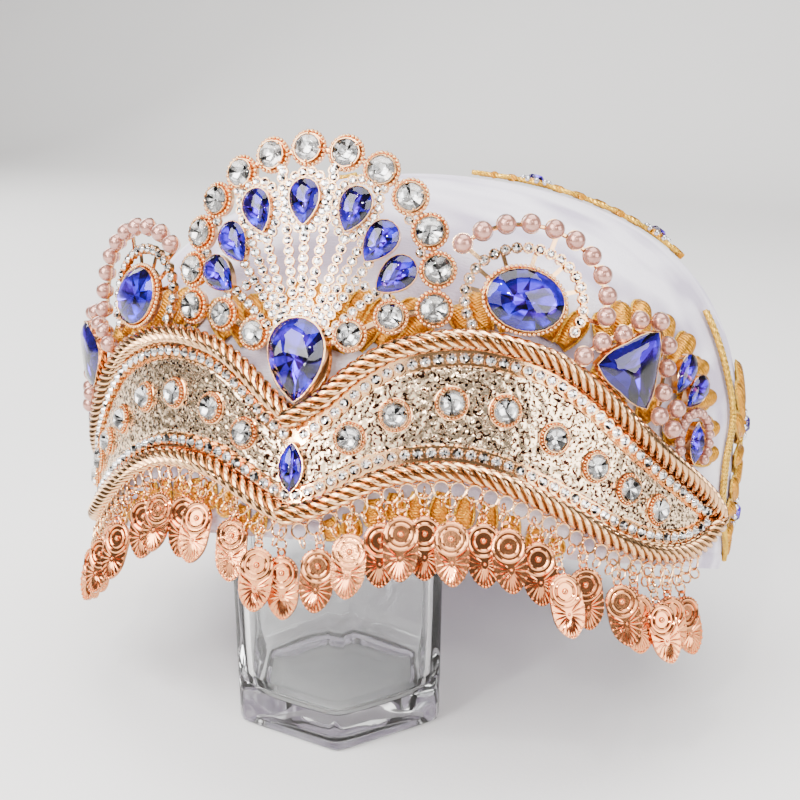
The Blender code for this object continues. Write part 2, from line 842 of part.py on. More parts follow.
def build_fan_stones():
    """Seven pears on the rays and the large teardrop over the hub."""
    base = FAN_LATTICE + SEAT_GAP + 0.05
    for number, (x, height, turn, _) in enumerate(pear_spots(), 1):
        frame = surface_frame(band_point, x / MM_PER_DEGREE, height, base, turn=-turn)
        stone = bare_stone(pear_outline(PEAR_WIDTH, PEAR_LENGTH, 12), PEAR_THICKNESS)
        add_piece(f"fan_pear_{number}", stone, BLUE_GLASS, frame)
    height, width, length, thickness = TEARDROP
    frame = surface_frame(band_point, 0.0, height, base)
    stone = set_stone(pear_outline(width, length, 14), 0.90, thickness)
    add_piece("teardrop_stone", stone, BLUE_GLASS, frame)


def medallion_spot(reach, turn):
    """Place round the medallion's centre, with the turn counted clockwise from the top."""
    x = MEDALLION_ANGLE * MM_PER_DEGREE + reach[0] * math.sin(math.radians(turn))
    return x, MEDALLION_HEIGHT + reach[1] * math.cos(math.radians(turn))


def build_medallion_frame():
    """Medallion frame: seat, ring of small stones and short bars between them."""
    seat = [medallion_spot(OVAL_SEAT, -a) for a in range(0, 360, 30)]
    ring = [medallion_spot(STONE_RING, a) for a in range(-STONE_RING_END, STONE_RING_END + 1, 28)]
    shapes = [
        plate(seat, MEDALLION_BACK + 0.04, MEDALLION_FRONT - 0.04),
        strap(ring, STONE_RING_WIDTH, MEDALLION_BACK, MEDALLION_FRONT),
    ]
    for turn in MEDALLION_BARS:
        inner = medallion_spot(MEDALLION_BAR_INNER, turn)
        outer = medallion_spot(PEARL_ARC if turn > PEARL_ARC_FROM - 5 else STONE_RING, turn)
        bar = strap([inner, outer], MEDALLION_BAR_WIDTH, MEDALLION_BACK + 0.1, MEDALLION_FRONT - 0.1)
        shapes.append(bar)
    return fuse(shapes)


def build_pearl_arc():
    """Arc of pearls over the medallion."""
    depth = MEDALLION_FRONT + SEAT_GAP + PEARL_RADIUS
    beads = []
    for i in range(PEARL_ARC_COUNT):
        x, height = medallion_spot(PEARL_ARC, PEARL_ARC_FROM + PEARL_ARC_STEP * i)
        beads.append((on_drawing(x, height, depth), PEARL_RADIUS))
    return bead_string(beads)


def build_medallions():
    """Both medallions."""
    both_sides("medallion_frame", build_medallion_frame, ROSE_GOLD)
    both_sides("pearl_arc", build_pearl_arc, PEARL)
    base = MEDALLION_FRONT + SEAT_GAP
    frame = surface_frame(band_point, MEDALLION_ANGLE, MEDALLION_HEIGHT, base)
    outline = oval_outline(*OVAL_SIZE, 14)
    both_sides("oval_stone", lambda: set_stone(outline, 0.88, OVAL_THICKNESS), BLUE_GLASS, frame)


def build_pearl_cluster():
    """Pearls round the three-cornered stone and down its outer side."""
    depth = SIDE_STONE_DEPTH + PEARL_RADIUS
    beads = [(band_point(angle, height, depth), PEARL_RADIUS) for angle, height in PEARL_CLUSTER]
    return bead_string(beads)


def build_small_pearls():
    """Loop of small pearls over and beside the marquise, as one bar."""
    angle, height, reach_x, reach_z = SMALL_PEARL_LOOP
    depth = SIDE_STONE_DEPTH + SMALL_PEARL_RADIUS
    points = []
    for turn in range(-112, 150, 24):
        x = angle + reach_x / MM_PER_DEGREE * math.sin(math.radians(turn))
        points.append(band_point(x, height + reach_z * math.cos(math.radians(turn)), depth))
    return tube(points, [SMALL_PEARL_RADIUS] * len(points), 2)


def build_side_pears():
    """Two pear stones, soldered to one short bar."""
    bar = [(angle * MM_PER_DEGREE, height) for angle, height, _ in SIDE_PEARS]
    shapes = [strap(bar, 2.0, SIDE_STONE_DEPTH + 0.1, SIDE_STONE_DEPTH + 1.0)]
    for angle, height, turn in SIDE_PEARS:
        frame = surface_frame(band_point, angle, height, SIDE_STONE_DEPTH, turn=turn)
        stone = bare_stone(pear_outline(*SIDE_PEAR_SIZE, 10), SIDE_PEAR_THICKNESS)
        shapes.append(moved(stone, frame))
    return fuse(shapes)


def build_side_clusters():
    """Three-cornered stone, pears and marquise beside each medallion, with their pearls."""
    angle, height, reach, thickness = TRILLION
    depth = SIDE_STONE_DEPTH + reach * math.sin(math.radians(TRILLION_LEAN)) * 0.9
    frame = surface_frame(band_point, angle, height, depth, TRILLION_CORNER, TRILLION_LEAN)
    triangle = trillion_outline(reach)
    both_sides("trillion_stone", lambda: set_stone(triangle, 0.96, thickness), BLUE_GLASS, frame)
    both_sides("pearl_cluster", build_pearl_cluster, PEARL)
    both_sides("small_pearl_loop", build_small_pearls, PEARL)
    both_sides("side_pears", build_side_pears, BLUE_GLASS)
    angle, height, width, length, depth = MARQUISE
    frame = surface_frame(band_point, angle, height, SIDE_STONE_DEPTH)
    boat = navette_outline(width, length, 10)
    both_sides("marquise_stone", lambda: bare_stone(boat, depth), BLUE_GLASS, frame)


def petal_rows(tips, start, end):
    """Rows of a scalloped apron that stands on the upper rope."""
    count = round((end - start) / PETAL_STEP)
    rows = []
    for i in range(2 * count + 1):
        angle = start + (end - start) * i / (2 * count)
        turn = min(abs(angle), WING_END)
        low = smooth_row(WING_EDGES, turn, 1) + ROPE_RADIUS * rope_slant(turn, 1) + 0.8
        notch = PETAL_NOTCH if i % 2 == 0 else 0.0
        high = max(smooth_row(tips, turn, 1) - notch, low + 3.0)
        rows.append((angle, low, high, smooth_row(tips, turn, 2)))
    return rows


def build_embroidery():
    """Gold bullion petals behind the fan and the medallions, and the hem work under the ropes."""
    add_piece("fan_embroidery", apron(petal_rows(FAN_PETALS, -22.4, 22.4)), BULLION)
    both_sides("side_embroidery", lambda: apron(petal_rows(SIDE_PETALS, 24.2, 73.0)), BULLION)
    both_sides("hem_embroidery", lambda: hem_strip(HEM_WORK), BULLION)


def motif_stone(surface, angle, height):
    """Round stone of a motif, sunk into its cord for a solid join."""
    frame = surface_frame(surface, angle, height, SEAT_GAP + 0.2)
    return moved(set_stone(round_outline(MOTIF_STONE_RADIUS, 8), CUP_RIM, MOTIF_STONE_THICKNESS), frame)


def build_side_motif():
    """Side motif: a stem with two stones and two curved cords."""
    def on_cap(x, height, depth):
        return cap_point(SIDE_MOTIF_ANGLE + x / MM_PER_DEGREE, height, depth)

    low, high = SEAT_GAP + 0.1, SEAT_GAP + CORD_HEIGHT
    stem = [(0.0, height) for height in SIDE_MOTIF_STEM]
    shapes = [strap(stem, CORD_WIDTH, low, high, on_cap)]
    foot, top = SIDE_MOTIF_CORD[0][0], SIDE_MOTIF_CORD[-1][0]
    heights = [foot + (top - foot) * (i / MOTIF_STEPS) ** 1.5 for i in range(MOTIF_STEPS + 1)]
    for side in (1, -1):
        cord = [(side * smooth_row(SIDE_MOTIF_CORD, z, 1) * MM_PER_DEGREE, z) for z in heights]
        shapes.append(strap(cord, CORD_WIDTH, low + 0.05, high + 0.05, on_cap))
    for height in SIDE_MOTIF_STONES:
        shapes.append(motif_stone(cap_point, SIDE_MOTIF_ANGLE, height))
    return fuse(shapes)


def build_top_motif():
    """Top motif: a cord with two stones that runs from the crown of the cap down its side."""
    low, high = SEAT_GAP, SEAT_GAP + CORD_HEIGHT

    def spot(at, depth):
        return dome_point(smooth_row(TOP_MOTIF, at, 1), smooth_row(TOP_MOTIF, at, 2), depth)

    rings = []
    for i in range(MOTIF_STEPS + 1):
        at = (len(TOP_MOTIF) - 1) * i / MOTIF_STEPS
        here = spot(at, 0.0)
        out = spot(at, 1.0) - here
        along = spot(at + 0.1, 0.0) - here
        side = along.cross(out).normalized() * CORD_WIDTH
        rings.append([
            here - side + out * low,
            here + side + out * low,
            here + side + out * high,
            here - side + out * high,
        ])
    shapes = [loft(rings)]
    for at in TOP_MOTIF_STONES:
        angle, level = smooth_row(TOP_MOTIF, at, 1), smooth_row(TOP_MOTIF, at, 2)
        shapes.append(motif_stone(dome_point, angle, level))
    return fuse(shapes)


def build_motifs():
    """Embroidered motifs on the sides and the top."""
    both_sides("side_motif", build_side_motif, BULLION)
    both_sides("top_motif", build_top_motif, BULLION)


def hanging_frame(angle, height, depth):
    """Frame of a drop against the front: Y against gravity along the band, Z out of it."""
    frame = surface_frame(band_point, angle, height, depth)
    down = CROWN.matrix_basis.to_3x3().inverted() @ Vector((0, 0, -1))
    out = frame.to_3x3().col[2]
    up = -(down - out * down.dot(out)).normalized()
    hang = Matrix((up.cross(out), up, out)).transposed().to_4x4()
    hang.translation = frame.translation
    return hang


def head_height(angle):
    """Height of the middle of the fringe's head strip."""
    rope = smooth_row(WING_EDGES, min(angle, WING_END), 2)
    return rope - ROPE_RADIUS * rope_slant(min(angle, WING_END), 2) - SEAT_GAP - FRINGE_HEAD / 2


def shank_length(frame):
    """How far a drop's shank runs from its boss up to the middle of the head strip."""
    length = BOSS_RADIUS
    top = frame.translation
    while top.z < head_height(math.degrees(math.atan2(top.x, -top.y))):
        length += 0.25
        top = frame @ Vector((0, length, 0))
    return length


def build_fringe(drops):
    """Fringe of one wing: a head strip under the lower rope with drops fused to it."""
    rings = []
    for i in range(FRINGE_RUNS + 1):
        angle = FRINGE_START + (FRINGE_END - FRINGE_START) * i / FRINGE_RUNS
        middle = head_height(angle)
        low, high = middle - FRINGE_HEAD / 2, middle + FRINGE_HEAD / 2
        rings.append([
            band_point(angle, low, FRINGE_BACK),
            band_point(angle, high, FRINGE_BACK),
            band_point(angle, high, FRINGE_FRONT),
            band_point(angle, low, FRINGE_FRONT),
        ])
    shapes = [loft(rings)]
    right, left = drop_outline()
    for number, (angle, drop) in enumerate(drops):
        rope = smooth_row(WING_EDGES, min(angle, WING_END), 2)
        frame = hanging_frame(angle, rope - drop, DROP_BACK)
        shank = shank_length(frame)
        outline = right + [(SHANK_HALF_WIDTH, shank), (-SHANK_HALF_WIDTH, shank)] + left
        rings = [[(x, y - shank, z) for x, y in outline] for z in (0.0, DROP_THICKNESS)]
        frame.translation = frame @ Vector((0, shank, 0))
        swing = Matrix.Rotation(math.radians(DROP_SWING * (number % 2)), 4, "X")
        shapes.append(moved(loft(rings), frame @ swing))
    return fuse(shapes)


def build_fringes():
    """Both fringes; each wing has its own order of drops."""
    add_piece("fringe_left", build_fringe(FRINGE_LEFT_WING), ROSE_GOLD)
    add_piece("fringe_right", build_fringe(FRINGE_RIGHT_WING), ROSE_GOLD, flip=True)


def build_jar():
    """Jar: six-sided body with thick walls, and a round neck."""
    rings = []
    for height, radius, roundness in JAR_RINGS:
        ring = []
        for i in range(JAR_SIDES):
            turn = 360 / JAR_SIDES * i
            flat = math.cos(math.radians(30)) / math.cos(math.radians(turn % 60 - 30))
            reach = radius * (flat + (1 - flat) * roundness)
            at = math.radians(JAR_TURN + turn)
            ring.append(Vector((reach * math.cos(at), reach * math.sin(at), height)))
        rings.append(ring)
    jar = add_piece("jar", loft(rings), CLEAR_GLASS)
    jar.parent = None


def rest_on_table(cap):
    """Set the crown's height so that the lowest point of its hem meets the table."""
    bpy.context.view_layer.update()
    evaluated = cap.evaluated_get(bpy.context.evaluated_depsgraph_get())
    turn = CROWN.matrix_basis.to_3x3()
    lowest = min((turn @ vert.co).z for vert in evaluated.data.vertices)
    CROWN.location.z = -lowest


clear_scene()
PARTS = bpy.data.collections.new("dance_crown")
bpy.context.scene.collection.children.link(PARTS)
CROWN = bpy.data.objects.new("crown", None)
PARTS.objects.link(CROWN)
CROWN.rotation_euler = (math.radians(-LEAN_BACK), math.radians(-LEAN_SIDE), 0.0)
CROWN.location = (CROWN_X * MM, CROWN_Y * MM, 0.0)
bpy.context.view_layer.update()

VELVET = make_material("white_velvet", (0.86, 0.84, 0.90), 0.85)
ROSE_GOLD = make_material("rose_gold", (0.93, 0.68, 0.45), 0.2, 1.0)
BULLION = make_material("gold_bullion", (0.80, 0.50, 0.12), 0.4, 0.8)
CRYSTAL = make_material("crystal", (0.90, 0.90, 0.88), 0.05)
BLUE_GLASS = make_material("blue_glass", (0.03, 0.02, 0.55), 0.05)
PEARL = make_material("pearl", (0.93, 0.83, 0.78), 0.25)
CLEAR_GLASS = make_material("clear_glass", (0.92, 0.95, 0.95), 0.02, 0.0, 0.35)

rest_on_table(build_cap())
build_wings()
build_fan()
build_fan_stones()
build_medallions()
build_side_clusters()
build_embroidery()
build_motifs()
build_fringes()
build_jar()
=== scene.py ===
"""Looks of the dance crown on its glass jar stand.

Shapes are drawn in millimetres in the crown's own frame: Z up from the cap's rim, the jewelled
front at -Y and the wearer's left at +X. finish_piece carries them to metres on the table.
"""
import math
import random

import bpy
import bmesh
from mathutils import Euler, Matrix, Vector, noise


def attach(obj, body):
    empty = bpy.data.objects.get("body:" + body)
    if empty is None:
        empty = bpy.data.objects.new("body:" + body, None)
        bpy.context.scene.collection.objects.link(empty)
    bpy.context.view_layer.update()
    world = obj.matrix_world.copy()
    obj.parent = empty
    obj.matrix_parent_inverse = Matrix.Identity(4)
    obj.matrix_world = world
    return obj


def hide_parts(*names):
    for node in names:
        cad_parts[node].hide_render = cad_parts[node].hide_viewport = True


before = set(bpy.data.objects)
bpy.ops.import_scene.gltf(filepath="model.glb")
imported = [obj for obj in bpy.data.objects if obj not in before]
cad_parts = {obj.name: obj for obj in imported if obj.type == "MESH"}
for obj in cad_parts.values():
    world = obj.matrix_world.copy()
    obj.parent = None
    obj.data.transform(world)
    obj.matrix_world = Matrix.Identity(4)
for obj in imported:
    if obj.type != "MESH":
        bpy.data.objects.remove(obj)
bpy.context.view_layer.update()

# How the crown leans on the jar: back, and a little to the wearer's right
CROWN_PLACE = (13.0, 30.4, 40.214)
LEAN_BACK = -24.6
LEAN_ASIDE = -4.34
CROWN = Matrix.Translation(CROWN_PLACE) @ Euler(
    (math.radians(LEAN_BACK), math.radians(LEAN_ASIDE), 0.0)
).to_matrix().to_4x4()
TABLE = Matrix.Identity(4)
METRES = Matrix.Scale(0.001, 4)
SHARP_ANGLE = math.radians(38)

# Degrees or millimetres over which a slope is read
SLOPE_STEP = 0.5

# Cap
CAP_HALF_WIDTH = 98.7
CAP_HALF_DEPTH = 95.2
CAP_HEIGHT = 122.9
CAP_SQUARENESS = 3.38
CAP_SWELL = 0.144
CAP_SHIFT_BACK = 13.2
CAP_WALL = 2.2
CAP_COLUMNS = 160
CAP_LEVELS = 72
CAP_HEART = Vector((0.0, 10.0, 40.0))
DENT_DEPTH = 0.9
DENT_SIZE = 26.0
FOLD_DEPTH = 1.1
FOLD_SIZE = (46.0, 17.0, 60.0)
SMOOTH_LEVEL = 18.0
HEM_HEIGHT = 5.5
HEM_PADDING = 0.35

# Front band that the metalwork follows
BAND_HALF_WIDTH = 99.7
BAND_HALF_DEPTH = 96.5
BAND_FLARE = 0.08
MM_PER_DEGREE = 1.85
SEAT_GAP = 0.3

# Wings: rope centre lines by angle from the centre front
WING_EDGES = (
    # angle, upper, lower
    (0.0, 31.2, 6.0),
    (4.0, 36.6, 8.6),
    (8.0, 43.2, 12.3),
    (13.0, 49.4, 16.9),
    (19.0, 53.0, 19.6),
    (25.0, 54.4, 20.2),
    (31.0, 53.4, 18.2),
    (38.0, 50.2, 14.0),
    (45.0, 43.6, 9.2),
    (52.0, 35.8, 5.0),
    (59.0, 29.3, 3.2),
    (66.0, 24.4, 4.2),
    (72.0, 20.4, 7.6),
    (75.2, 17.6, 11.4),
)
WING_END = 75.2
WING_TIP = (77.2, 14.5)
ROPE_RADIUS = 2.75
ROPE_LEAD = 15.5
ROPE_STRANDS = 5
ROPE_GROOVE = 0.38
ROPE_STEP = 0.7
CROSSING_WIDTH = 3.5
PLATE_FRONT = 1.4
PLATE_BACK = 0.3
PLATE_END = WING_END + 1.0
PLATE_STEP = 0.42
FIELD_TALLEST = 24.0
FIELD_LEAST = 0.8
HAMMER_CELL = 1.15
HAMMER_DEPTH = 0.26
HAMMER_LEVEL = 0.45
HAMMER_UNEVEN = 0.2
HAMMER_INSET = 6.6
HAMMER_RISE = 0.3
CHAIN_INSET = 4.75
CHAIN_PITCH = 3.4
CHAIN_STONE = 1.42
CHAIN_START_HIGH = 1.6
CHAIN_START_LOW = 0.9
CHAIN_END = 70.6
CHAIN_TIP = ((72.0, 17.6), (72.6, 14.7), (72.0, 12.6))
WING_SIDES = (
    # side, mirrored, start angle, lift over the other wing, lay of the rope
    ("left", False, -1.1, 2.2, 1),
    ("right", True, 0.35, 0.0, -1),
)
WING_STONES = (
    # angle, height
    (8.4, 27.1),
    (14.7, 33.7),
    (22.6, 37.8),
    (30.4, 37.0),
    (38.2, 31.0),
    (45.4, 24.9),
    (51.9, 19.9),
    (58.6, 15.2),
)
WING_STONE_RING = 4.6
WING_STONE = 3.35
WING_STONE_HEIGHT = 3.3
WING_STONE_TURN = 31.0

# Fan: a flat drawing, x across and height up, wrapped round the band
FAN_CENTRE_HEIGHT = 67.5
FAN_HALF_WIDTH = 36.0
FAN_RISE = 35.0
FAN_STEP = 16.6
FAN_STONE_RING = 5.15
FAN_STONE = 3.6
FAN_STONE_TURN = 37.0
CURL_STONE_RING = 4.85
CURL_STONE = 3.3
CURL_STONES = ((24.4, 59.0), (13.8, 53.8))
COLLET_HEIGHT = 3.9
ARCH_FOOT = (7.0, 51.0)
FAN_BASE_HEIGHT = 47.0
FAN_DEPTH = 0.7
HUB_RADIUS = 9.5
HUB_SHAPE = (0.95, 1.1, 1.0)
RAYS = (
    # turn from upright, start, length
    (0.0, 13.0, 34.5),
    (8.6, 12.0, 54.0),
    (19.4, 11.0, 33.6),
    (27.0, 10.0, 40.0),
    (34.9, 9.0, 31.0),
    (48.0, 8.0, 30.0),
)
RAY_PITCH = 2.75
RAY_STONE = 1.22
LONE_STONES = (
    # x, height
    (7.0, 96.5),
    (20.6, 92.0),
    (27.5, 84.2),
    (31.0, 75.8),
    (17.0, 66.5),
    (23.0, 64.0),
)
FAN_PEARS = (
    # x, height, with a halo of small stones
    (0.0, 88.2, True),
    (13.4, 86.2, True),
    (20.4, 77.9, False),
    (25.0, 69.4, False),
)
PEAR_WIDTH = 9.0
PEAR_LENGTH = 12.7
HALO = 1.28
HALO_PITCH = 2.6

# Centre stones: height over the rim, width, length
TEARDROP = (46.8, 16.8, 22.8)
NAVETTE = (18.7, 7.4, 13.6)

# Medallions: pairs are a reach across and a reach up, turns are clockwise from the top
MEDALLION_ANGLE = 31.5
MEDALLION_HEIGHT = 65.6
SEAT_RADIUS = 9.6
SEAT_SHAPE = (1.0, 0.8, 1.0)
OVAL_SIZE = (23.2, 18.2)
OVAL_STONE = (21.3, 16.2)
OVAL_TURN = -7.0
STONE_RING = (16.0, 13.7)
STONE_RING_SHIFT = 0.6
STONE_RING_TURNS = range(-122, 119, 6)
STONE_RING_DEPTH = 1.5
STONE_RING_PITCH = 3.15
RING_STONE = 1.22
BAR_FOOT = (9.6, 7.4)
BAR_DEPTH = 1.9
BAR_WIDTH = 1.1
MEDALLION_BARS = (-81, -57, -27, 7, 39, 71)
PEARL_LINKS = (-48, 20, 100)
PEARL_ARC = (22.4, 19.4)
PEARL_ARC_FROM = -49.4
PEARL_ARC_STEP = 16.1
PEARL_ARC_COUNT = 10
PEARL_ARC_DEPTH = 5.05
PEARL_RADIUS = 2.55

# Side clusters: the three-cornered stone by angle, height and reach, then its turn and lean
TRILLION = (48.6, 51.7, 12.6)
TRILLION_CORNER = 62.0
TRILLION_LEAN = 8.0
PEARL_CLUSTER = (
    # angle, height
    (40.7, 52.8),
    (43.3, 57.0),
    (46.6, 59.8),
    (49.2, 64.2),
    (52.9, 64.8),
    (54.9, 58.9),
    (55.2, 52.9),
    (55.0, 46.3),
    (54.8, 39.9),
    (58.2, 42.6),
    (57.8, 37.0),
)
SMALL_PEARL_RADIUS = 1.5
SMALL_PEARL_COUNT = 14
SMALL_PEARL_FROM = -118
SMALL_PEARL_SWEEP = 248
SIDE_PEARS = (
    # angle, height, turn
    (59.9, 52.6, -27.0),
    (63.1, 48.3, -44.0),
)
SIDE_PEAR_SIZE = (7.2, 12.6)
SIDE_STONE_DEPTH = 2.4

# Loop of small pearls by angle, height and its reach across and up, and the marquise by angle,
# height, width and length
SMALL_PEARL_LOOP = (64.3, 35.2, 7.2, 7.6)
MARQUISE = (64.3, 34.5, 6.4, 12.0)

# Bullion petals on the cap, each from its foot to its tip
THREAD_PITCH = 0.7
THREAD_RIDGE = 0.22
THREAD_SLANT = 0.55
PETAL_FOOT = 0.35
PETAL_TIP_START = 0.72
PETAL_RIM = 1.08
LOOP_LIFT = SEAT_GAP + 0.35
LOOP_POINTS = 14
FAN_PETALS = (
    # foot x, foot height, tip x, tip height, width, height of the pad
    (0.0, 50.0, 0.0, 69.0, 6.4, 1.3),
    (4.6, 50.0, 7.4, 69.5, 6.2, 1.3),
    (8.8, 50.0, 14.8, 68.0, 6.2, 1.3),
    (14.0, 51.0, 22.4, 66.0, 6.2, 1.3),
    (20.0, 52.0, 29.6, 65.5, 6.0, 1.3),
    (27.0, 53.5, 36.5, 65.0, 6.0, 1.3),
)
SIDE_PETALS = (
    # foot angle, foot height, tip angle, tip height, width, height of the pad
    (23.5, 57.6, 21.8, 64.5, 6.0, 2.4),
    (26.6, 58.0, 24.4, 69.0, 6.0, 2.4),
    (29.8, 58.4, 28.2, 70.0, 6.0, 2.6),
    (33.0, 58.2, 33.4, 70.5, 6.0, 2.6),
    (36.0, 57.6, 38.4, 70.0, 6.0, 2.6),
    (38.2, 56.0, 42.6, 66.0, 6.0, 2.6),
    (46.0, 57.0, 45.6, 67.5, 6.2, 3.4),
    (49.0, 59.0, 49.6, 71.6, 6.6, 3.4),
    (52.6, 60.0, 54.2, 73.2, 6.6, 3.4),
    (56.0, 57.5, 60.2, 70.4, 6.6, 3.4),
    (59.0, 54.0, 65.6, 65.8, 6.6, 3.4),
    (61.0, 49.5, 69.4, 58.6, 6.6, 3.4),
    (62.0, 45.0, 72.0, 49.6, 6.6, 3.4),
    (67.0, 37.0, 73.4, 41.0, 6.2, 3.2),
    (67.0, 31.0, 74.2, 33.4, 6.2, 3.0),
    (60.5, 33.0, 60.2, 43.5, 6.0, 2.6),
    (57.0, 46.0, 53.0, 39.0, 5.6, 2.6),
    (44.0, 47.0, 47.5, 55.0, 6.0, 2.6),
    (48.0, 42.6, 52.0, 50.0, 6.0, 2.6),
)
HEM_LOBES = (
    # foot angle, foot height, tip angle, tip height, width, height of the pad
    (5.4, 6.0, 6.6, 0.8, 4.6, 1.2),
    (8.6, 8.0, 9.6, 1.4, 4.8, 1.2),
    (12.0, 12.0, 12.6, 4.6, 5.0, 1.2),
    (15.4, 14.0, 15.6, 6.4, 5.0, 1.2),
    (18.8, 14.6, 18.6, 6.8, 5.0, 1.2),
    (22.4, 15.0, 21.8, 6.8, 5.0, 1.2),
    (26.0, 14.4, 25.6, 6.0, 5.0, 1.2),
    (29.6, 12.8, 29.2, 4.6, 5.0, 1.2),
    (33.2, 10.4, 33.0, 2.6, 5.0, 1.2),
    (37.0, 7.8, 37.0, 1.2, 4.8, 1.2),
    (40.6, 5.6, 41.0, 0.8, 4.6, 1.2),
)

# Side and top motifs
SIDE_MOTIF_ANGLE = 97.0
SIDE_MOTIF_CORD = (
    # height, angle from the motif's middle
    (3.0, 0.8),
    (14.0, 13.0),
    (30.0, 16.6),
    (46.0, 14.4),
    (57.0, 17.4),
    (76.0, 22.5),
)
SIDE_MOTIF_STONES = (46.0, 18.0)
SIDE_MOTIF_LEAVES = (
    # foot across, foot height, tip across, tip height, in mm from the motif's middle
    (2.0, 52.0, 3.5, 66.0),
    (5.0, 50.0, 12.5, 64.0),
    (7.0, 46.0, 19.5, 57.0),
    (7.5, 42.0, 22.5, 46.0),
    (5.0, 38.0, 16.0, 33.0),
    (3.0, 35.0, 8.0, 26.0),
    (6.0, 22.0, 17.0, 27.0),
    (7.0, 18.0, 18.5, 18.5),
    (5.0, 13.5, 12.0, 9.5),
    (2.0, 11.0, 4.0, 4.0),
)
MOTIF_LEAF = (5.6, 2.0)
SIDE_CORD_FOOT = 3.0
SIDE_CORD_RISE = 73.0
SIDE_CORD_APART = 0.95
STEM_FOOT = 2.5
STEM_LENGTH = 50.0
STEM_APART = 0.9
TOP_MOTIF = (
    # row, angle, level over the rim in degrees
    (0.0, 30.0, 74.0),
    (1.0, 44.0, 71.3),
    (2.0, 57.0, 68.4),
    (3.0, 69.0, 63.8),
    (4.0, 78.0, 58.8),
    (5.0, 86.0, 51.0),
)
TOP_MOTIF_STONES = (1.55, 4.35)
TOP_MOTIF_LEAVES = (0.5, 0.95, 2.1, 2.55, 3.0, 3.45, 3.85, 4.8)
TOP_CORD_END = 4.9
TOP_CORD_APART = 3.2
TOP_LEAF_POINTS = 7
CORD_RADIUS = 0.85
CORD_LEAD = 4.4
CORD_LIFT = SEAT_GAP + 0.7
CORD_POINTS = 40
MOTIF_STONE = 3.0
MOTIF_BEADS = 9
MOTIF_BEAD_RING = MOTIF_STONE + 1.25

# Fringe: drops that hang from the lower ropes
FRINGE_LEFT_WING = (
    # angle of the boss, drop under the rope's centre line
    (4.7, 15.5),
    (9.5, 15.8),
    (13.8, 15.9),
    (16.8, 15.6),
    (20.1, 15.8),
    (24.0, 17.2),
    (28.8, 15.8),
    (32.3, 15.3),
    (37.3, 14.8),
    (41.3, 20.0),
    (45.8, 14.8),
    (52.2, 14.9),
    (56.4, 15.7),
    (60.4, 17.7),
    (64.3, 16.1),
    (67.7, 17.3),
)
FRINGE_RIGHT_WING = (
    (0.9, 15.4),
    (4.5, 16.4),
    (9.6, 14.0),
    (15.8, 14.8),
    (19.5, 14.8),
    (24.2, 14.8),
    (30.0, 15.4),
    (36.0, 19.0),
    (40.5, 16.0),
    (45.0, 18.0),
    (49.8, 15.2),
    (54.4, 16.4),
    (59.0, 15.4),
    (63.4, 17.0),
    (67.7, 16.0),
)
FRINGE_START = 1.6
FRINGE_END = 70.0
FRINGE_SIDES = (
    # side, mirrored, drops, seed, angle that they face, how far they turn to it for each degree
    ("left", False, FRINGE_LEFT_WING, 5, 22, 0.5),
    ("right", True, FRINGE_RIGHT_WING, 6, -22, 0.4),
)
LACE_FALL = 1.8
LACE_DEPTH = 2.2
LACE_RING = 2.1
LACE_PITCH = 4.3
LACE_POINTS = 60
LINK_PITCH = 2.1
DROP_BACK = 1.5
BOSS_RADIUS = 4.45
BOSS_GRAINS = 13
LEAF_LENGTH = 12.2
LEAF_HEART = 1.35 * BOSS_RADIUS
DROP_SIDES = 32
DROP_THICKNESS = 0.9
DROP_EYE = 1.6
DROP_SWING = -9.0
DROP_SWING_RANGE = (-3, 1)
DROP_TURN_LIMITS = (-22, 14)
DROP_TURN_RANGE = (-9, 9)

# Jar, in the table's frame
JAR_TURN = -70.6
JAR_PROFILE = (
    # height, radius at a corner, roundness
    (1.8, 0.0, 0.0),
    (1.5, 27.0, 0.0),
    (0.0, 31.6, 0.0),
    (0.0, 33.9, 0.0),
    (0.9, 35.0, 0.0),
    (2.6, 35.6, 0.0),
    (54.0, 36.2, 0.0),
    (104.0, 36.8, 0.02),
    (108.6, 36.2, 0.1),
    (112.4, 33.4, 0.26),
    (115.6, 28.4, 0.52),
    (118.0, 23.0, 0.85),
    (120.4, 20.9, 1.0),
    (124.0, 20.2, 1.0),
    (134.0, 20.0, 1.0),
    (137.4, 19.9, 1.0),
    (138.5, 19.2, 1.0),
    (138.5, 18.3, 1.0),
    (137.4, 17.7, 1.0),
    (118.6, 17.7, 1.0),
    (115.4, 21.4, 0.8),
    (111.0, 28.4, 0.4),
    (104.6, 32.2, 0.16),
    (54.0, 31.8, 0.14),
    (17.0, 30.9, 0.14),
    (12.2, 29.4, 0.16),
    (9.6, 25.8, 0.22),
    (8.8, 20.0, 0.3),
    (8.4, 0.0, 0.3),
)
JAR_SIDES = 96
JAR_STEPS = 4
JAR_FACE = 60.0
JAR_CORNER = 0.985

# Camera and lights, in metres
CAMERA_PLACE = (0.1436, -0.3523, 0.2300)
CAMERA_FORWARD = (-0.3136, 0.892, -0.3256)
CAMERA_LENS = 60.75
SENSOR = 36.0
LIGHTS = (
    # name, place, size, watts
    ("key_softbox", (-0.45, -0.66, 0.78), 0.72, 23.0),
    ("fill_softbox", (0.88, -0.30, 0.40), 0.62, 9.0),
    ("top_softbox", (0.10, 0.12, 0.98), 0.90, 16.0),
    ("rim_softbox", (-0.75, 0.55, 0.50), 0.50, 6.0),
    ("front_softbox", (-0.15, -1.10, 0.52), 0.75, 4.5),
    ("left_glint", (-0.34, -0.85, 0.34), 0.05, 1.6),
    ("right_glint", (0.42, -0.78, 0.66), 0.05, 2.0),
    ("high_glint", (0.02, -0.62, 0.98), 0.05, 2.4),
)
WORLD_LIGHT = 0.2
LIGHT_AIM = Vector((0.0, 0.0, 0.10))
FLOOR_WIDTH = 9.0
FLOOR_FRONT = -4.0
FLOOR_RUN = 5.7
FLOOR_BEND = 0.9
FLOOR_STEPS = 90

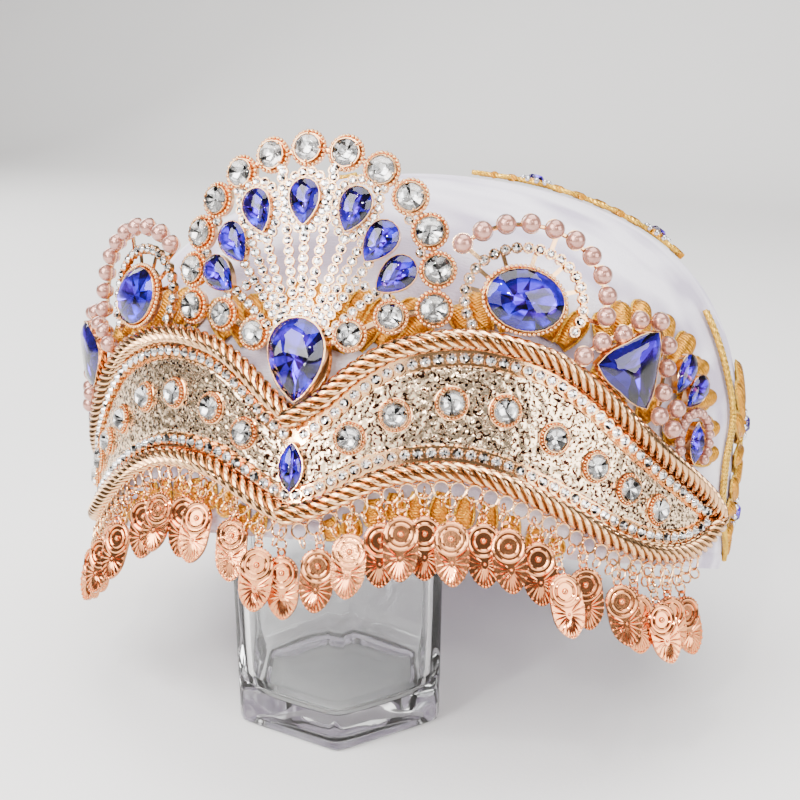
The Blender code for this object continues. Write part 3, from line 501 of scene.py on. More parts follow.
# Patterns, in millimetres
PILE_STREAK = (42.0, 13.0, 13.0)
PILE_RIB = (9.0, 0.5, 0.5)
PILE_TURN = (0.2, 0.5, 0.3)
PILE_GRAIN = 0.9
PLATING_PATCH = 7.0
POLISH_MARK = 2.0
HAMMER_PIT = 0.85
GLASS_CLOUD = 4.0
PEARL_CLOUD = 3.0
THREAD_PATCH = 1.6
JAR_CLOUD = 60.0
JAR_WAVE = 24.0
PAPER_CLOUD = 180.0
PAPER_GRAIN = 1.5
# Purl is wound about 0.3 mm apart; this is coarser, so that it shows
WINDING_PITCH = 1.496
# Painted shade for the grooves between a rope's strands
GROOVE_PAINTED_SHADE = "2a0f05"

# The attribute that holds painted light: the tone of a facet's painted flash, or the depth of a rope's
# groove that sets its painted shade
PAINTED_LIGHT_TONE = "facet"

# Sockets of a colour Mix node
MIX_SHARE, MIX_LOW, MIX_HIGH, MIX_COLOUR = 0, 6, 7, 2

# Places in each piece's list of finishes; the foil under a stone comes right after the stone
METAL, CLEAR, CLEAR_FOIL, BLUE = range(4)
PLATE = 5
PURL, CORD, SEED_BEAD, VIOLET = range(4)
LACQUER = 1
LINKS = 1


def linear(text):
    """An sRGB hex colour as linear RGBA."""
    parts = [int(text[i:i + 2], 16) / 255 for i in (0, 2, 4)]
    return (*((c / 12.92 if c <= 0.04045 else ((c + 0.055) / 1.055) ** 2.4) for c in parts), 1.0)


def set_inputs(tree, node, inputs):
    """Set or link a node's inputs."""
    for name, value in inputs.items():
        if isinstance(value, bpy.types.NodeSocket):
            tree.links.new(value, node.inputs[name])
        else:
            node.inputs[name].default_value = value


def add_node(tree, kind, output, inputs, **settings):
    """Add a node with its settings and links, and give one of its outputs."""
    node = tree.nodes.new("ShaderNode" + kind)
    for name, value in settings.items():
        setattr(node, name, value)
    set_inputs(tree, node, inputs)
    return node.outputs[output]


def new_material(name):
    """An empty material: its node tree and its shader."""
    material = bpy.data.materials.new(name)
    material.use_nodes = True
    tree = material.node_tree
    return material, tree, tree.nodes["Principled BSDF"]


def mottled(tree, size, detail, low, high):
    """A colour that goes between two hex colours in patches of a size in millimetres."""
    place = add_node(tree, "TexCoord", "Object", {})
    patches = add_node(tree, "TexNoise", "Fac", {
        "Vector": place, "Scale": 1000 / size, "Detail": detail, "Roughness": 0.55,
    })
    return add_node(tree, "Mix", MIX_COLOUR, {
        MIX_SHARE: patches, MIX_LOW: linear(low), MIX_HIGH: linear(high),
    }, data_type="RGBA")


def velvet_material():
    """Crushed velvet: a white pile that goes lavender where it lies away from the light."""
    material, tree, shader = new_material("white_crushed_velvet")
    place = add_node(tree, "TexCoord", "Object", {})
    layers = []
    for sizes in (PILE_STREAK, PILE_RIB):
        aslant = add_node(tree, "Mapping", "Vector", {
            "Vector": place, "Rotation": PILE_TURN, "Scale": [1000 / size for size in sizes],
        })
        layers.append(add_node(tree, "TexNoise", "Fac", {"Vector": aslant, "Scale": 1.0, "Detail": 1.0}))
    nap, ribs = layers
    grain = add_node(tree, "TexNoise", "Fac", {
        "Vector": place, "Scale": 1000 / PILE_GRAIN, "Detail": 2.0, "Roughness": 0.55,
    })
    share = add_node(tree, "MapRange", "Result", {"Value": nap, "From Min": 0.38, "From Max": 0.62})
    colour = add_node(tree, "Mix", MIX_COLOUR, {
        MIX_SHARE: share, MIX_LOW: linear("bcb0c6"), MIX_HIGH: linear("f2ecf6"),
    }, data_type="RGBA")
    soft = add_node(tree, "Math", "Value", {0: ribs, 1: 0.7, 2: grain}, operation="MULTIPLY_ADD")
    relief = add_node(tree, "Math", "Value", {0: nap, 1: 6.0, 2: soft}, operation="MULTIPLY_ADD")
    normal = add_node(tree, "Bump", "Normal", {"Height": relief, "Strength": 1.0, "Distance": 0.0002})
    set_inputs(tree, shader, {
        "Base Color": colour, "Normal": normal, "Roughness": 0.68, "Specular IOR Level": 0.4,
        "Sheen Weight": 0.6, "Sheen Roughness": 0.35, "Sheen Tint": linear("f1eaff"),
    })
    return material


def plating_material(name, low, high, roughness, grain, depth):
    """Polished plating on a zinc casting: warm and bright, with painted shade darkening the grooves between
    a rope's strands.
    """
    material, tree, shader = new_material(name)
    place = add_node(tree, "TexCoord", "Object", {})
    marks, relief = (
        add_node(tree, "TexNoise", "Fac", {
            "Vector": place, "Scale": 1000 / size, "Detail": detail, "Roughness": 0.55,
        }) for size, detail in ((POLISH_MARK, 2.0), (grain, 3.0))
    )
    groove = add_node(tree, "Attribute", "Fac", {}, attribute_name=PAINTED_LIGHT_TONE)
    # Painted shade: a rope's groove depth mixes its colour toward a near-black brown
    colour = add_node(tree, "Mix", MIX_COLOUR, {
        MIX_SHARE: groove,
        MIX_LOW: mottled(tree, PLATING_PATCH, 3.0, low, high),
        MIX_HIGH: linear(GROOVE_PAINTED_SHADE),
    }, data_type="RGBA")
    gloss = add_node(tree, "MapRange", "Result", {
        "Value": marks, "To Min": roughness * 0.7, "To Max": roughness * 1.4,
    })
    normal = add_node(tree, "Bump", "Normal", {"Height": relief, "Strength": 1.0, "Distance": depth / 1000})
    set_inputs(tree, shader, {
        "Base Color": colour, "Normal": normal, "Roughness": gloss, "Metallic": 1.0,
    })
    return material


def hammered_material():
    """Hammered champagne plating: bright flats between fine pits left by the punch, with painted shade in
    the pits.
    """
    material, tree, shader = new_material("hammered_champagne_plating")
    place = add_node(tree, "TexCoord", "Object", {})
    pits = add_node(tree, "TexNoise", "Fac", {
        "Vector": place, "Scale": 1000 / HAMMER_PIT, "Detail": 2.0, "Roughness": 0.55,
    })
    flats = add_node(tree, "MapRange", "Result", {"Value": pits, "From Min": 0.43, "From Max": 0.48})
    # Painted shade: the pits are mixed to a near-black brown, the flats to bright champagne
    colour = add_node(tree, "Mix", MIX_COLOUR, {
        MIX_SHARE: flats, MIX_LOW: linear("2a1409"), MIX_HIGH: linear("ffe0b8"),
    }, data_type="RGBA")
    normal = add_node(tree, "Bump", "Normal", {"Height": flats, "Strength": 1.0, "Distance": 0.00016})
    set_inputs(tree, shader, {
        "Base Color": colour, "Normal": normal, "Roughness": 0.2, "Metallic": 1.0,
    })
    return material


def foil_material(name, dark, middle, light, metallic):
    """Foiled back of a cut stone: each facet throws back its own tone, a painted flash of reflected light
    from dark to light.
    """
    material, tree, shader = new_material(name)
    facet = add_node(tree, "Attribute", "Fac", {}, attribute_name=PAINTED_LIGHT_TONE)
    colour = add_node(tree, "ValToRGB", "Color", {"Fac": facet})
    stops = colour.node.color_ramp.elements
    stops.new(0.5)
    for stop, share, tone in zip(stops, (0.14, 0.40, 0.80), (dark, middle, light)):
        stop.position, stop.color = share, linear(tone)
    set_inputs(tree, shader, {"Base Color": colour, "Roughness": 0.1, "Metallic": metallic})
    return material


def stone_glass_material(name, tint, paler, glare):
    """Cut lead glass: clear and sharp, with a little of its own colour."""
    material, tree, shader = new_material(name)
    set_inputs(tree, shader, {
        "Base Color": mottled(tree, GLASS_CLOUD, 2.0, tint, paler), "Roughness": 0.01, "IOR": 1.56,
        "Transmission Weight": 1.0, "Specular IOR Level": glare,
    })
    return material


def pearl_material():
    """Imitation pearl: lacquer of fish-scale essence over a bead, white with a pink cast."""
    material, tree, shader = new_material("pearl_lacquer")
    set_inputs(tree, shader, {
        "Base Color": mottled(tree, PEARL_CLOUD, 2.0, "9c6456", "d09c8c"), "Roughness": 0.24,
        "Metallic": 0.6, "Coat Weight": 0.9, "Coat Roughness": 0.05,
    })
    return material


def thread_material(name, low, high, roughness):
    """Gilt purl: fine wire wound round a core, so each stitch glints across its length."""
    material, tree, shader = new_material(name)
    place = add_node(tree, "TexCoord", "Object", {})
    winding = add_node(tree, "TexWave", "Fac", {
        "Vector": place, "Scale": 200 * math.pi / WINDING_PITCH, "Distortion": 3.0,
    }, wave_type="BANDS", bands_direction="DIAGONAL")
    normal = add_node(tree, "Bump", "Normal", {"Height": winding, "Strength": 1.0, "Distance": 0.00012})
    set_inputs(tree, shader, {
        "Base Color": mottled(tree, THREAD_PATCH, 3.0, low, high), "Normal": normal,
        "Roughness": roughness, "Metallic": 0.9, "Anisotropic": 0.4,
    })
    return material


def jar_material():
    """Pressed soda-lime glass: clear, a trace of grey green, faint waves from the mould."""
    material, tree, shader = new_material("pressed_jar_glass")
    place = add_node(tree, "TexCoord", "Object", {})
    waves = add_node(tree, "TexNoise", "Fac", {
        "Vector": place, "Scale": 1000 / JAR_WAVE, "Detail": 1.0, "Roughness": 0.55,
    })
    normal = add_node(tree, "Bump", "Normal", {"Height": waves, "Strength": 1.0, "Distance": 0.0005})
    set_inputs(tree, shader, {
        "Base Color": mottled(tree, JAR_CLOUD, 2.0, "f3f8f7", "ffffff"), "Normal": normal,
        "Roughness": 0.0, "IOR": 1.5, "Transmission Weight": 1.0,
    })
    return material


def floor_material():
    """Matt paper: pale, with a fine tooth that takes the gloss away."""
    material, tree, shader = new_material("pale_paper")
    place = add_node(tree, "TexCoord", "Object", {})
    tooth = add_node(tree, "TexNoise", "Fac", {
        "Vector": place, "Scale": 1000 / PAPER_GRAIN, "Detail": 2.0, "Roughness": 0.55,
    })
    normal = add_node(tree, "Bump", "Normal", {"Height": tooth, "Strength": 1.0, "Distance": 0.00005})
    set_inputs(tree, shader, {
        "Base Color": mottled(tree, PAPER_CLOUD, 2.0, "eceae8", "f3f1ef"), "Normal": normal,
        "Roughness": 0.85,
    })
    return material


def smooth_row(table, at, column):
    """Value of a table's column at a place between its rows, on a smooth curve."""
    last = len(table) - 1
    row = max(i for i in range(last) if table[i][0] <= at or i == 0)
    here, there = table[row], table[row + 1]
    span = there[0] - here[0]
    before, after = table[max(row - 1, 0)], table[min(row + 2, last)]
    slope_in = (there[column] - before[column]) / (there[0] - before[0])
    slope_out = (after[column] - here[column]) / (after[0] - here[0])
    t = (at - here[0]) / span
    bend = slope_in * span * (t ** 3 - 2 * t ** 2 + t) + slope_out * span * (t ** 3 - t ** 2)
    return here[column] + (there[column] - here[column]) * (3 * t ** 2 - 2 * t ** 3) + bend


def band_point(angle, height, depth):
    """Point of the front at an angle, a height and a distance out from the band's back face."""
    turn = math.radians(angle)
    out = BAND_FLARE * height + depth
    across, deep = BAND_HALF_WIDTH + out, BAND_HALF_DEPTH + out
    return Vector((across * math.sin(turn), -deep * math.cos(turn), height))


def cap_point(angle, height, depth):
    """Point of the cap's outside at an angle and height, moved out from it by a depth."""
    turn = math.radians(angle)
    share = min(1.0, height / CAP_HEIGHT)
    scale = math.sqrt(max(0.0, 1 - share ** CAP_SQUARENESS)) * (1 + CAP_SWELL * share)
    across, deep = CAP_HALF_WIDTH * scale + depth, CAP_HALF_DEPTH * scale + depth
    back = CAP_SHIFT_BACK * share ** 2
    return Vector((across * math.sin(turn), back - deep * math.cos(turn), height))


def dome_point(angle, level, depth):
    """Point of the cap by angle and by level, 0 at the rim and 90 at the crown."""
    near = cap_point(angle, CAP_HEIGHT * math.sin(math.radians(level)), 0.0)
    if depth == 0.0:
        return near
    return near + outward(dome_point, angle, level) * depth


def outward(surface, angle, height):
    """Direction out of a surface."""
    step = SLOPE_STEP
    along = surface(angle + step, height, 0.0) - surface(angle - step, height, 0.0)
    up = surface(angle, height + step, 0.0) - surface(angle, height - step, 0.0)
    return along.cross(up).normalized()


def surface_frame(surface, angle, height, depth, turn=0.0, lean=0.0):
    """Frame on a surface: X along it, Y up it and Z out of it, then turned and leant."""
    out = outward(surface, angle, height)
    along = surface(angle + SLOPE_STEP, height, depth) - surface(angle - SLOPE_STEP, height, depth)
    along.normalize()
    up = out.cross(along)
    place = Matrix((along, up, out)).transposed().to_4x4()
    place.translation = surface(angle, height, depth)
    spin = Matrix.Rotation(math.radians(turn), 4, "Z")
    return place @ Matrix.Rotation(math.radians(lean), 4, "X") @ spin


def line_on(surface, rows, depth):
    """Points on a surface with its outward directions, along rows of angle and height."""
    return [(surface(a, z, depth), outward(surface, a, z)) for a, z in rows]


def spaced_frames(line, pitch, closed=False):
    """Frames a pitch apart along a line: X along it and Z outward."""
    if closed:
        line = line + [line[0]]
    runs = [(b[0] - a[0]).length for a, b in zip(line, line[1:])]
    total = sum(runs)
    count = max(1, round(total / pitch))
    frames = []
    row, passed = 0, 0.0
    for i in range(count if closed else count + 1):
        at = total * i / count
        while row < len(runs) - 1 and passed + runs[row] < at:
            passed += runs[row]
            row += 1
        share = (at - passed) / runs[row]
        (start, out_start), (end, out_end) = line[row], line[row + 1]
        along = (end - start).normalized()
        side = out_start.lerp(out_end, share).cross(along).normalized()
        place = Matrix((along, side, along.cross(side))).transposed().to_4x4()
        place.translation = start.lerp(end, share)
        frames.append(place)
    return frames


def paint(bm, finish, smooth=True):
    """Give all faces of a shape one finish."""
    for face in bm.faces:
        face.material_index = finish
        face.smooth = smooth
    return bm


def moved(bm, place):
    """A shape carried into a frame."""
    bmesh.ops.transform(bm, matrix=place, verts=bm.verts)
    return bm


def shift(x, y, z):
    """A move without a turn."""
    return Matrix.Translation((x, y, z))


def as_mesh(bm):
    """A shape as a mesh, ready for copies."""
    mesh = bpy.data.meshes.new("shape")
    bm.to_mesh(mesh)
    bm.free()
    return mesh


def add_shapes(body, *shapes):
    """Add shapes to a piece's body."""
    for shape in shapes:
        mesh = as_mesh(shape)
        body.from_mesh(mesh)
        bpy.data.meshes.remove(mesh)
    return body


def add_copies(body, mesh, frames):
    """Add a copy of a mesh to a piece's body in each frame."""
    for place in frames:
        copy = mesh.copy()
        copy.transform(place)
        body.from_mesh(copy)
        bpy.data.meshes.remove(copy)
    return body


def deal_copies(body, kinds, frames):
    """Add a copy in each frame, dealt in turn from a few meshes that are used up here."""
    for i, mesh in enumerate(kinds):
        add_copies(body, mesh, frames[i::len(kinds)])
        bpy.data.meshes.remove(mesh)
    return body


def mirrored(bm):
    """The same shape for the other side of the crown."""
    bmesh.ops.scale(bm, vec=(-1, 1, 1), verts=bm.verts)
    bmesh.ops.reverse_faces(bm, faces=bm.faces)
    return bm


def finish_piece(name, bm, materials, nodes, place=CROWN, flip=False):
    """Carry a piece to its place in metres, give it its finish and let it stand for its nodes."""
    if flip:
        bm = mirrored(bm)
    moved(bm, METRES @ place)
    mesh = bpy.data.meshes.new(name)
    bm.to_mesh(mesh)
    bm.free()
    mesh.set_sharp_from_angle(angle=SHARP_ANGLE)
    for material in materials:
        mesh.materials.append(material)
    piece = bpy.data.objects.new(name, mesh)
    bpy.context.scene.collection.objects.link(piece)
    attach(piece, "root")
    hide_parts(*nodes)
    return piece


def both_sides(name, build, materials, nodes):
    """A piece for the wearer's left and its mirror image for the right."""
    for side, flip in (("left", False), ("right", True)):
        names = [f"{node}_{side}" for node in nodes]
        finish_piece(f"{name}_{side}", build(), materials, names, flip=flip)


def sheet_shape(columns, rows, place, tone=None):
    """Grid of faces whose points a function places from two shares, 0 to 1; tone reads the second."""
    bm = bmesh.new()
    bmesh.ops.create_grid(bm, x_segments=columns, y_segments=rows, size=1.0)
    if tone:
        tones = bm.faces.layers.float.new(PAINTED_LIGHT_TONE)
        for face in bm.faces:
            face[tones] = tone((face.calc_center_median().y + 1) / 2)
    for vert in bm.verts:
        vert.co = place((vert.co.x + 1) / 2, (vert.co.y + 1) / 2)
    return bm


def sealed(bm):
    """Close a wrapped sheet: weld its seam, fill its ends and point its faces outward."""
    bmesh.ops.remove_doubles(bm, verts=bm.verts, dist=0.0005)
    edges = [edge for edge in bm.edges if edge.is_boundary]
    bmesh.ops.holes_fill(bm, edges=edges, sides=0)
    bmesh.ops.recalc_face_normals(bm, faces=bm.faces)
    return bm


def wire(line, radius, step, sides=8, closed=False, finish=METAL):
    """Round wire along a line."""
    frames = spaced_frames(line, step, closed)
    if closed:
        frames.append(frames[0])
    last = len(frames) - 1

    def place(share, round_share):
        row = round(share * last)
        turn = math.tau * round_share
        reach = radius * 0.5 if not closed and row in (0, last) else radius
        return frames[row] @ Vector((0, reach * math.cos(turn), reach * math.sin(turn)))

    return paint(sealed(sheet_shape(last, sides, place)), finish)


def rope(line, radius, lead, strands=3, step=0.4, groove=0.28, finish=METAL):
    """Twisted rope along a line: its rows of points turn with the strands, six to a strand."""
    frames = spaced_frames(line, step)
    last = len(frames) - 1

    def dip(round_share):
        """Depth of the groove between two strands, from 0 to 1."""
        return (1 - abs(math.sin(math.pi * strands * round_share))) ** 1.4

    def place(share, round_share):
        row = round(share * last)
        turn = math.tau * (round_share + row * step / lead)
        reach = radius * (1 - groove * dip(round_share))
        return frames[row] @ Vector((0, reach * math.cos(turn), reach * math.sin(turn)))

    # Painted shade: how dark the groove between two strands is painted, from its depth
    def tone(round_share):
        return dip(round_share) ** 1.5

    return paint(sealed(sheet_shape(last, 6 * strands, place, tone)), finish)


def bar(start, end, width, thickness, finish=METAL):
    """Flat bar between two points of a line."""
    bm = bmesh.new()
    bmesh.ops.create_cube(bm, size=1.0)
    length = (end[0] - start[0]).length
    bmesh.ops.scale(bm, vec=(length, width, thickness), verts=bm.verts)
    place = spaced_frames([start, end], length)[0]
    return paint(moved(bm, place @ shift(length / 2, 0, 0)), finish)


def bead(radius, sides=8, finish=METAL):
    """Round bead."""
    bm = bmesh.new()
    bmesh.ops.create_uvsphere(bm, u_segments=sides, v_segments=max(5, sides * 3 // 4), radius=radius)
    return paint(bm, finish)


def ring(radius, thickness, sides=20, finish=METAL, tall=1.0):
    """Wire ring that lies flat round Z, from a turned circle."""
    bm = bmesh.new()
    bmesh.ops.create_circle(bm, segments=6, radius=thickness)
    bmesh.ops.rotate(bm, verts=bm.verts, matrix=Matrix.Rotation(math.radians(90), 3, "X"))
    bmesh.ops.scale(bm, vec=(1, 1, tall), verts=bm.verts)
    bmesh.ops.translate(bm, verts=bm.verts, vec=(radius, 0, 0))
    geom = bm.verts[:] + bm.edges[:]
    bmesh.ops.spin(
        bm, geom=geom, cent=(0, 0, 0), axis=(0, 0, 1), angle=math.tau, steps=sides, use_merge=True
    )
    bmesh.ops.remove_doubles(bm, verts=bm.verts, dist=0.0005)
    bmesh.ops.recalc_face_normals(bm, faces=bm.faces)
    return paint(bm, finish)


def cup(low_radius, high_radius, height, sides=16, finish=METAL):
    """Plain round cup or stud, its foot at height 0."""
    bm = bmesh.new()
    bmesh.ops.create_cone(
        bm, cap_ends=True, segments=sides, radius1=low_radius, radius2=high_radius, depth=height
    )
    return paint(moved(bm, shift(0, 0, height / 2)), finish)


def oval_outline(width, length, sides):
    """Oval outline, counter-clockwise."""
    steps = [math.tau * (i + 0.5) / sides for i in range(sides)]
    return [(width / 2 * math.cos(t), length / 2 * math.sin(t)) for t in steps]


def pear_outline(width, length, sides):
    """Teardrop outline with its point at the bottom."""
    steps = [math.tau * i / sides for i in range(sides)]
    bulge = [math.sin(t) * math.sin(t / 2) ** 0.6 for t in steps]
    widest = max(bulge)
    return [(width / 2 * b / widest, -length / 2 * math.cos(t)) for b, t in zip(bulge, steps)]


def navette_outline(width, length, sides):
    """Boat outline, pointed at both ends."""
    steps = [math.tau * i / sides for i in range(sides)]
    return [(width / 2 * math.sin(t) * abs(math.sin(t)) ** 0.7, -length / 2 * math.cos(t)) for t in steps]


def trillion_outline(reach, sides):
    """Triangle with bowed sides and round corners, its first corner on +X."""
    outline = []
    for i in range(sides):
        t = math.tau * i / sides
        near = (t + math.pi / 3) % (math.tau / 3) - math.pi / 3
        radius = reach * (0.60 + 0.36 * (1 - abs(near) / (math.pi / 3)) ** 1.75)
        outline.append((radius * math.cos(t), radius * math.sin(t)))
    return outline


def half_steps(outline):
    """Points halfway between an outline's points."""
    follow = outline[1:] + outline[:1]
    return [((ax + bx) / 2, (ay + by) / 2) for (ax, ay), (bx, by) in zip(outline, follow)]


def cut_stone(outline, rise, drop, finish, seed, table=0.56, wedges=False):
    """Cut stone with its girdle at height 0: glass facets over it, foil facets or wedges under it."""
    halves = half_steps(outline)
    crown = (
        # points, share of the outline's size, height
        (outline, 1.0, 0.0),
        (outline, 0.995, -0.12 * rise),
        (halves[::2], 0.86, 0.52 * rise),
        (outline[::2], table + 0.04, rise),
    )
    pavilion = (
        (halves[1::2], 0.66, -0.52 * drop),
        (outline[1::2], 0.30, -0.84 * drop),
    )
    bm = bmesh.new()
    for points, scale, height in crown if wedges else crown + pavilion:
        for x, y in points:
            bm.verts.new((x * scale, y * scale, height))
    bm.verts.new((0, 0, -drop))
    made = bmesh.ops.convex_hull(bm, input=bm.verts)
    spare = [item for item in made["geom_interior"] if isinstance(item, bmesh.types.BMVert)]
    bmesh.ops.delete(bm, geom=spare, context="VERTS")
    bmesh.ops.dissolve_limit(bm, angle_limit=math.radians(1.5), verts=bm.verts, edges=bm.edges)
    paint(bm, finish, smooth=False)
    paint_facet_flashes(bm, seed)
    for face in bm.faces:
        if face.calc_center_median().z < -0.2 * rise:
            face.material_index = finish + 1
    return bm


def paint_facet_flashes(bm, seed):
    """Give each facet of a stone its own tone at random, which the foil shows as a painted flash of
    reflected light.
    """
    tones = bm.faces.layers.float.new(PAINTED_LIGHT_TONE)
    draw = random.Random(seed)
    for face in bm.faces:
        face[tones] = draw.random()


def small_stone(radius, rise, seed):
    """Small foiled rhinestone of eight facets and a pointed table."""
    bm = bmesh.new()
    bmesh.ops.create_cone(
        bm, cap_ends=True, segments=8, radius1=radius, radius2=radius * 0.55, depth=rise
    )
    table = max(bm.faces, key=lambda face: face.calc_center_median().z)
    bmesh.ops.poke(bm, faces=[table], offset=-0.12 * rise)
    paint(bm, CLEAR_FOIL, smooth=False)
    paint_facet_flashes(bm, seed)
    return moved(bm, shift(0, 0, rise / 2))


def set_small_stone(radius, wall, height, seed):
    """Small rhinestone in a cup with four prongs, as one mesh for copies."""
    body = cup(radius + wall * 0.7, radius + wall, height, sides=8)
    add_shapes(body, moved(small_stone(radius, radius * 0.62, seed), shift(0, 0, height * 0.98)))
    grain_ring(body, radius + wall * 0.35, wall * 0.8, 4, height, tall=1.3, sides=5)
    return as_mesh(body)


def outline_line(outline, height):
    """A closed outline as a line in a stone's own frame."""
    return [(Vector((x, y, height)), Vector((0, 0, 1))) for x, y in outline]


def scaled(outline, grow):
    """An outline with its edge moved out by about a distance."""
    wide = max(x for x, y in outline)
    tall = max(y for x, y in outline)
    return [(x * (1 + grow / wide), y * (1 + grow / tall)) for x, y in outline]


def grain_ring(body, radius, size, count, height, tall=1.0, sides=7):
    """Add a ring of grains round Z."""
    grain = bead(size, sides)
    bmesh.ops.scale(grain, vec=(1, 1, tall), verts=grain.verts)
    mesh = as_mesh(grain)
    turns = [math.tau * (i + 0.5) / count for i in range(count)]
    add_copies(body, mesh, [shift(radius * math.cos(t), radius * math.sin(t), height) for t in turns])
    bpy.data.meshes.remove(mesh)
    return body


def open_cup(outline, wall, height):
    """Open cup for a stone: a wall round an outline, with a softened rim and a low floor."""
    bm = bmesh.new()
    floor = bm.faces.new([bm.verts.new((x, y, 0.0)) for x, y in outline])
    made = bmesh.ops.extrude_face_region(bm, geom=[floor])["geom"]
    top = next(item for item in made if isinstance(item, bmesh.types.BMFace))
    bmesh.ops.translate(bm, verts=top.verts[:], vec=(0, 0, height))
    bmesh.ops.recalc_face_normals(bm, faces=bm.faces)
    bmesh.ops.inset_region(bm, faces=[top], thickness=wall)
    bmesh.ops.inset_region(bm, faces=[top], thickness=0.02, depth=0.15 - height)
    below = height - 0.01
    rim = [edge for edge in bm.edges if all(vert.co.z > below for vert in edge.verts)]
    rim = [edge for edge in rim if any(face.calc_center_median().z < below for face in edge.link_faces)]
    bmesh.ops.bevel(
        bm, geom=rim, offset=wall * 0.3, offset_type="OFFSET", segments=1, profile=0.5,
        affect="EDGES", material=-1
    )
    return paint(bm, METAL)


def bezel_stone(outline, seat, rise, finish, seed, wall=0.3, table=0.56):
    """Stone in a thin open bezel, its foot at height 0."""
    body = open_cup(outline, wall, seat + 0.15)
    inner = scaled(outline, -wall * 1.05)
    stone = cut_stone(inner, rise, seat * 0.8, finish, seed, table, wedges=finish == CLEAR)
    return add_shapes(body, moved(stone, shift(0, 0, seat)))


def round_gem(stone, wall, seat, rise, seed):
    """Round clear stone in an open cup with four claws, its foot at height 0."""
    edge = stone + wall
    body = bezel_stone(oval_outline(2 * edge, 2 * edge, 16), seat, rise, CLEAR, seed, wall)
    return grain_ring(body, stone * 0.99, 0.42, 4, seat + 0.25, tall=1.3)


def beaded_collet(radius, stone, height, seed):
    """Round collet: a low disc, a ring of grains and a clear stone in an open cup."""
    body = cup(radius - 0.4, radius - 0.2, height * 0.34, sides=24)
    grain_ring(body, radius - 0.6, 0.61, 24, height * 0.40)
    gem = round_gem(stone, wall=0.32, seat=height * 0.40, rise=height * 0.30, seed=seed)
    return add_shapes(body, moved(gem, shift(0, 0, height * 0.30)))


def milled_setting(radius, stone, height, seed):
    """Wing stone: a thin wire ring, teeth milled round the cup and a clear stone."""
    body = cup(radius - 0.3, radius - 0.35, 0.4, sides=24)
    add_shapes(body, moved(ring(radius - 0.28, 0.28, sides=32), shift(0, 0, 0.45)))
    grain_ring(body, stone + 0.52, 0.34, 26, height * 0.32, tall=1.9)
    gem = round_gem(stone, wall=0.22, seat=height * 0.46, rise=height * 0.44, seed=seed)
    return add_shapes(body, moved(gem, shift(0, 0, 0.2)))


def rope_slant(angle, column):
    """How much taller than round a rope's section is where the rope climbs."""
    low = smooth_row(WING_EDGES, max(angle - SLOPE_STEP, 0.0), column)
    high = smooth_row(WING_EDGES, min(angle + SLOPE_STEP, WING_END), column)
    return math.sqrt(1 + ((high - low) / (2 * SLOPE_STEP * MM_PER_DEGREE)) ** 2)


def edge_rows(column, inset, start, end, count=90):
    """Rows of angle and height along a wing's edge, moved inward by an inset."""
    toward = -1 if column == 1 else 1
    rows = []
    for i in range(count + 1):
        angle = start + (end - start) * i / count
        move = toward * inset * rope_slant(angle, column)
        rows.append((angle, smooth_row(WING_EDGES, angle, column) + move))
    return rows


def rope_line(start, lift):
    """A wing's rope: out along the top, round the tip and back below, lifted at its ends."""
    rows = edge_rows(1, 0.0, start, WING_END)
    tip_angle, tip_height = WING_TIP
    for back, up in ((0.4, 1.6), (0.0, 0.0), (0.4, -1.6)):
        rows.append((tip_angle - back, tip_height + up))
    rows += edge_rows(2, 0.0, start, WING_END)[::-1]
    line = []
    for angle, height in rows:
        over = lift * max(0.0, 1 - angle / CROSSING_WIDTH)
        line.append((band_point(angle, height, ROPE_RADIUS + over), outward(band_point, angle, height)))
    return line


def wing_heights(angle, inset=0.0):
    """Upper and lower height of a wing at an angle, both moved inward by an inset."""
    at = min(angle, WING_END)
    upper, lower = smooth_row(WING_EDGES, at, 1), smooth_row(WING_EDGES, at, 2)
    middle = (upper + lower) / 2
    high = upper - inset * rope_slant(at, 1)
    low = lower + inset * rope_slant(at, 2)
    return max(high, middle), min(low, middle)


def build_wing(start, lift, lay):
    """Wing: hammered field, smooth edges for the stones, and one twisted rope round it all."""
    def field_height(angle):
        high, low = wing_heights(angle, HAMMER_INSET)
        return high - low

    field_end = max(angle for angle in range(round(WING_END)) if field_height(angle) > FIELD_LEAST)

    def field(share, up):
        angle = start + (field_end - start) * share
        high, low = wing_heights(angle, HAMMER_INSET)
        height = low + (high - low) * up
        spot = Vector((angle * MM_PER_DEGREE, height, 0.0)) / HAMMER_CELL
        near, _ = noise.voronoi(spot)
        dimple = HAMMER_DEPTH * (near[0] - HAMMER_LEVEL) + HAMMER_UNEVEN * noise.noise(spot * 0.5)
        edge = min(1.0, 30 * up * (1 - up))
        return band_point(angle, height, PLATE_FRONT + (HAMMER_RISE - dimple) * edge)

    def edge_strip(row):
        def place(share, up):
            angle = start + (PLATE_END - start) * share
            outer, inner = wing_heights(angle)[row], wing_heights(angle, HAMMER_INSET)[row]
            return band_point(angle, inner + (outer - inner) * (up if row == 0 else 1 - up), PLATE_FRONT)
        return paint(sheet_shape(160, 4, place), METAL)

    def back(share, up):
        angle = start + (PLATE_END - start) * share
        high, low = wing_heights(angle)
        return band_point(angle, low + (high - low) * up, PLATE_BACK)

    columns = round((field_end - start) * MM_PER_DEGREE / PLATE_STEP)
    body = paint(sheet_shape(columns, round(FIELD_TALLEST / PLATE_STEP), field), PLATE)
    behind = paint(sheet_shape(40, 3, back), METAL)
    bmesh.ops.reverse_faces(behind, faces=behind.faces)
    cord = rope(rope_line(start, lift), ROPE_RADIUS, lay * ROPE_LEAD, ROPE_STRANDS, ROPE_STEP, ROPE_GROOVE)
    return add_shapes(body, edge_strip(0), edge_strip(1), behind, cord)


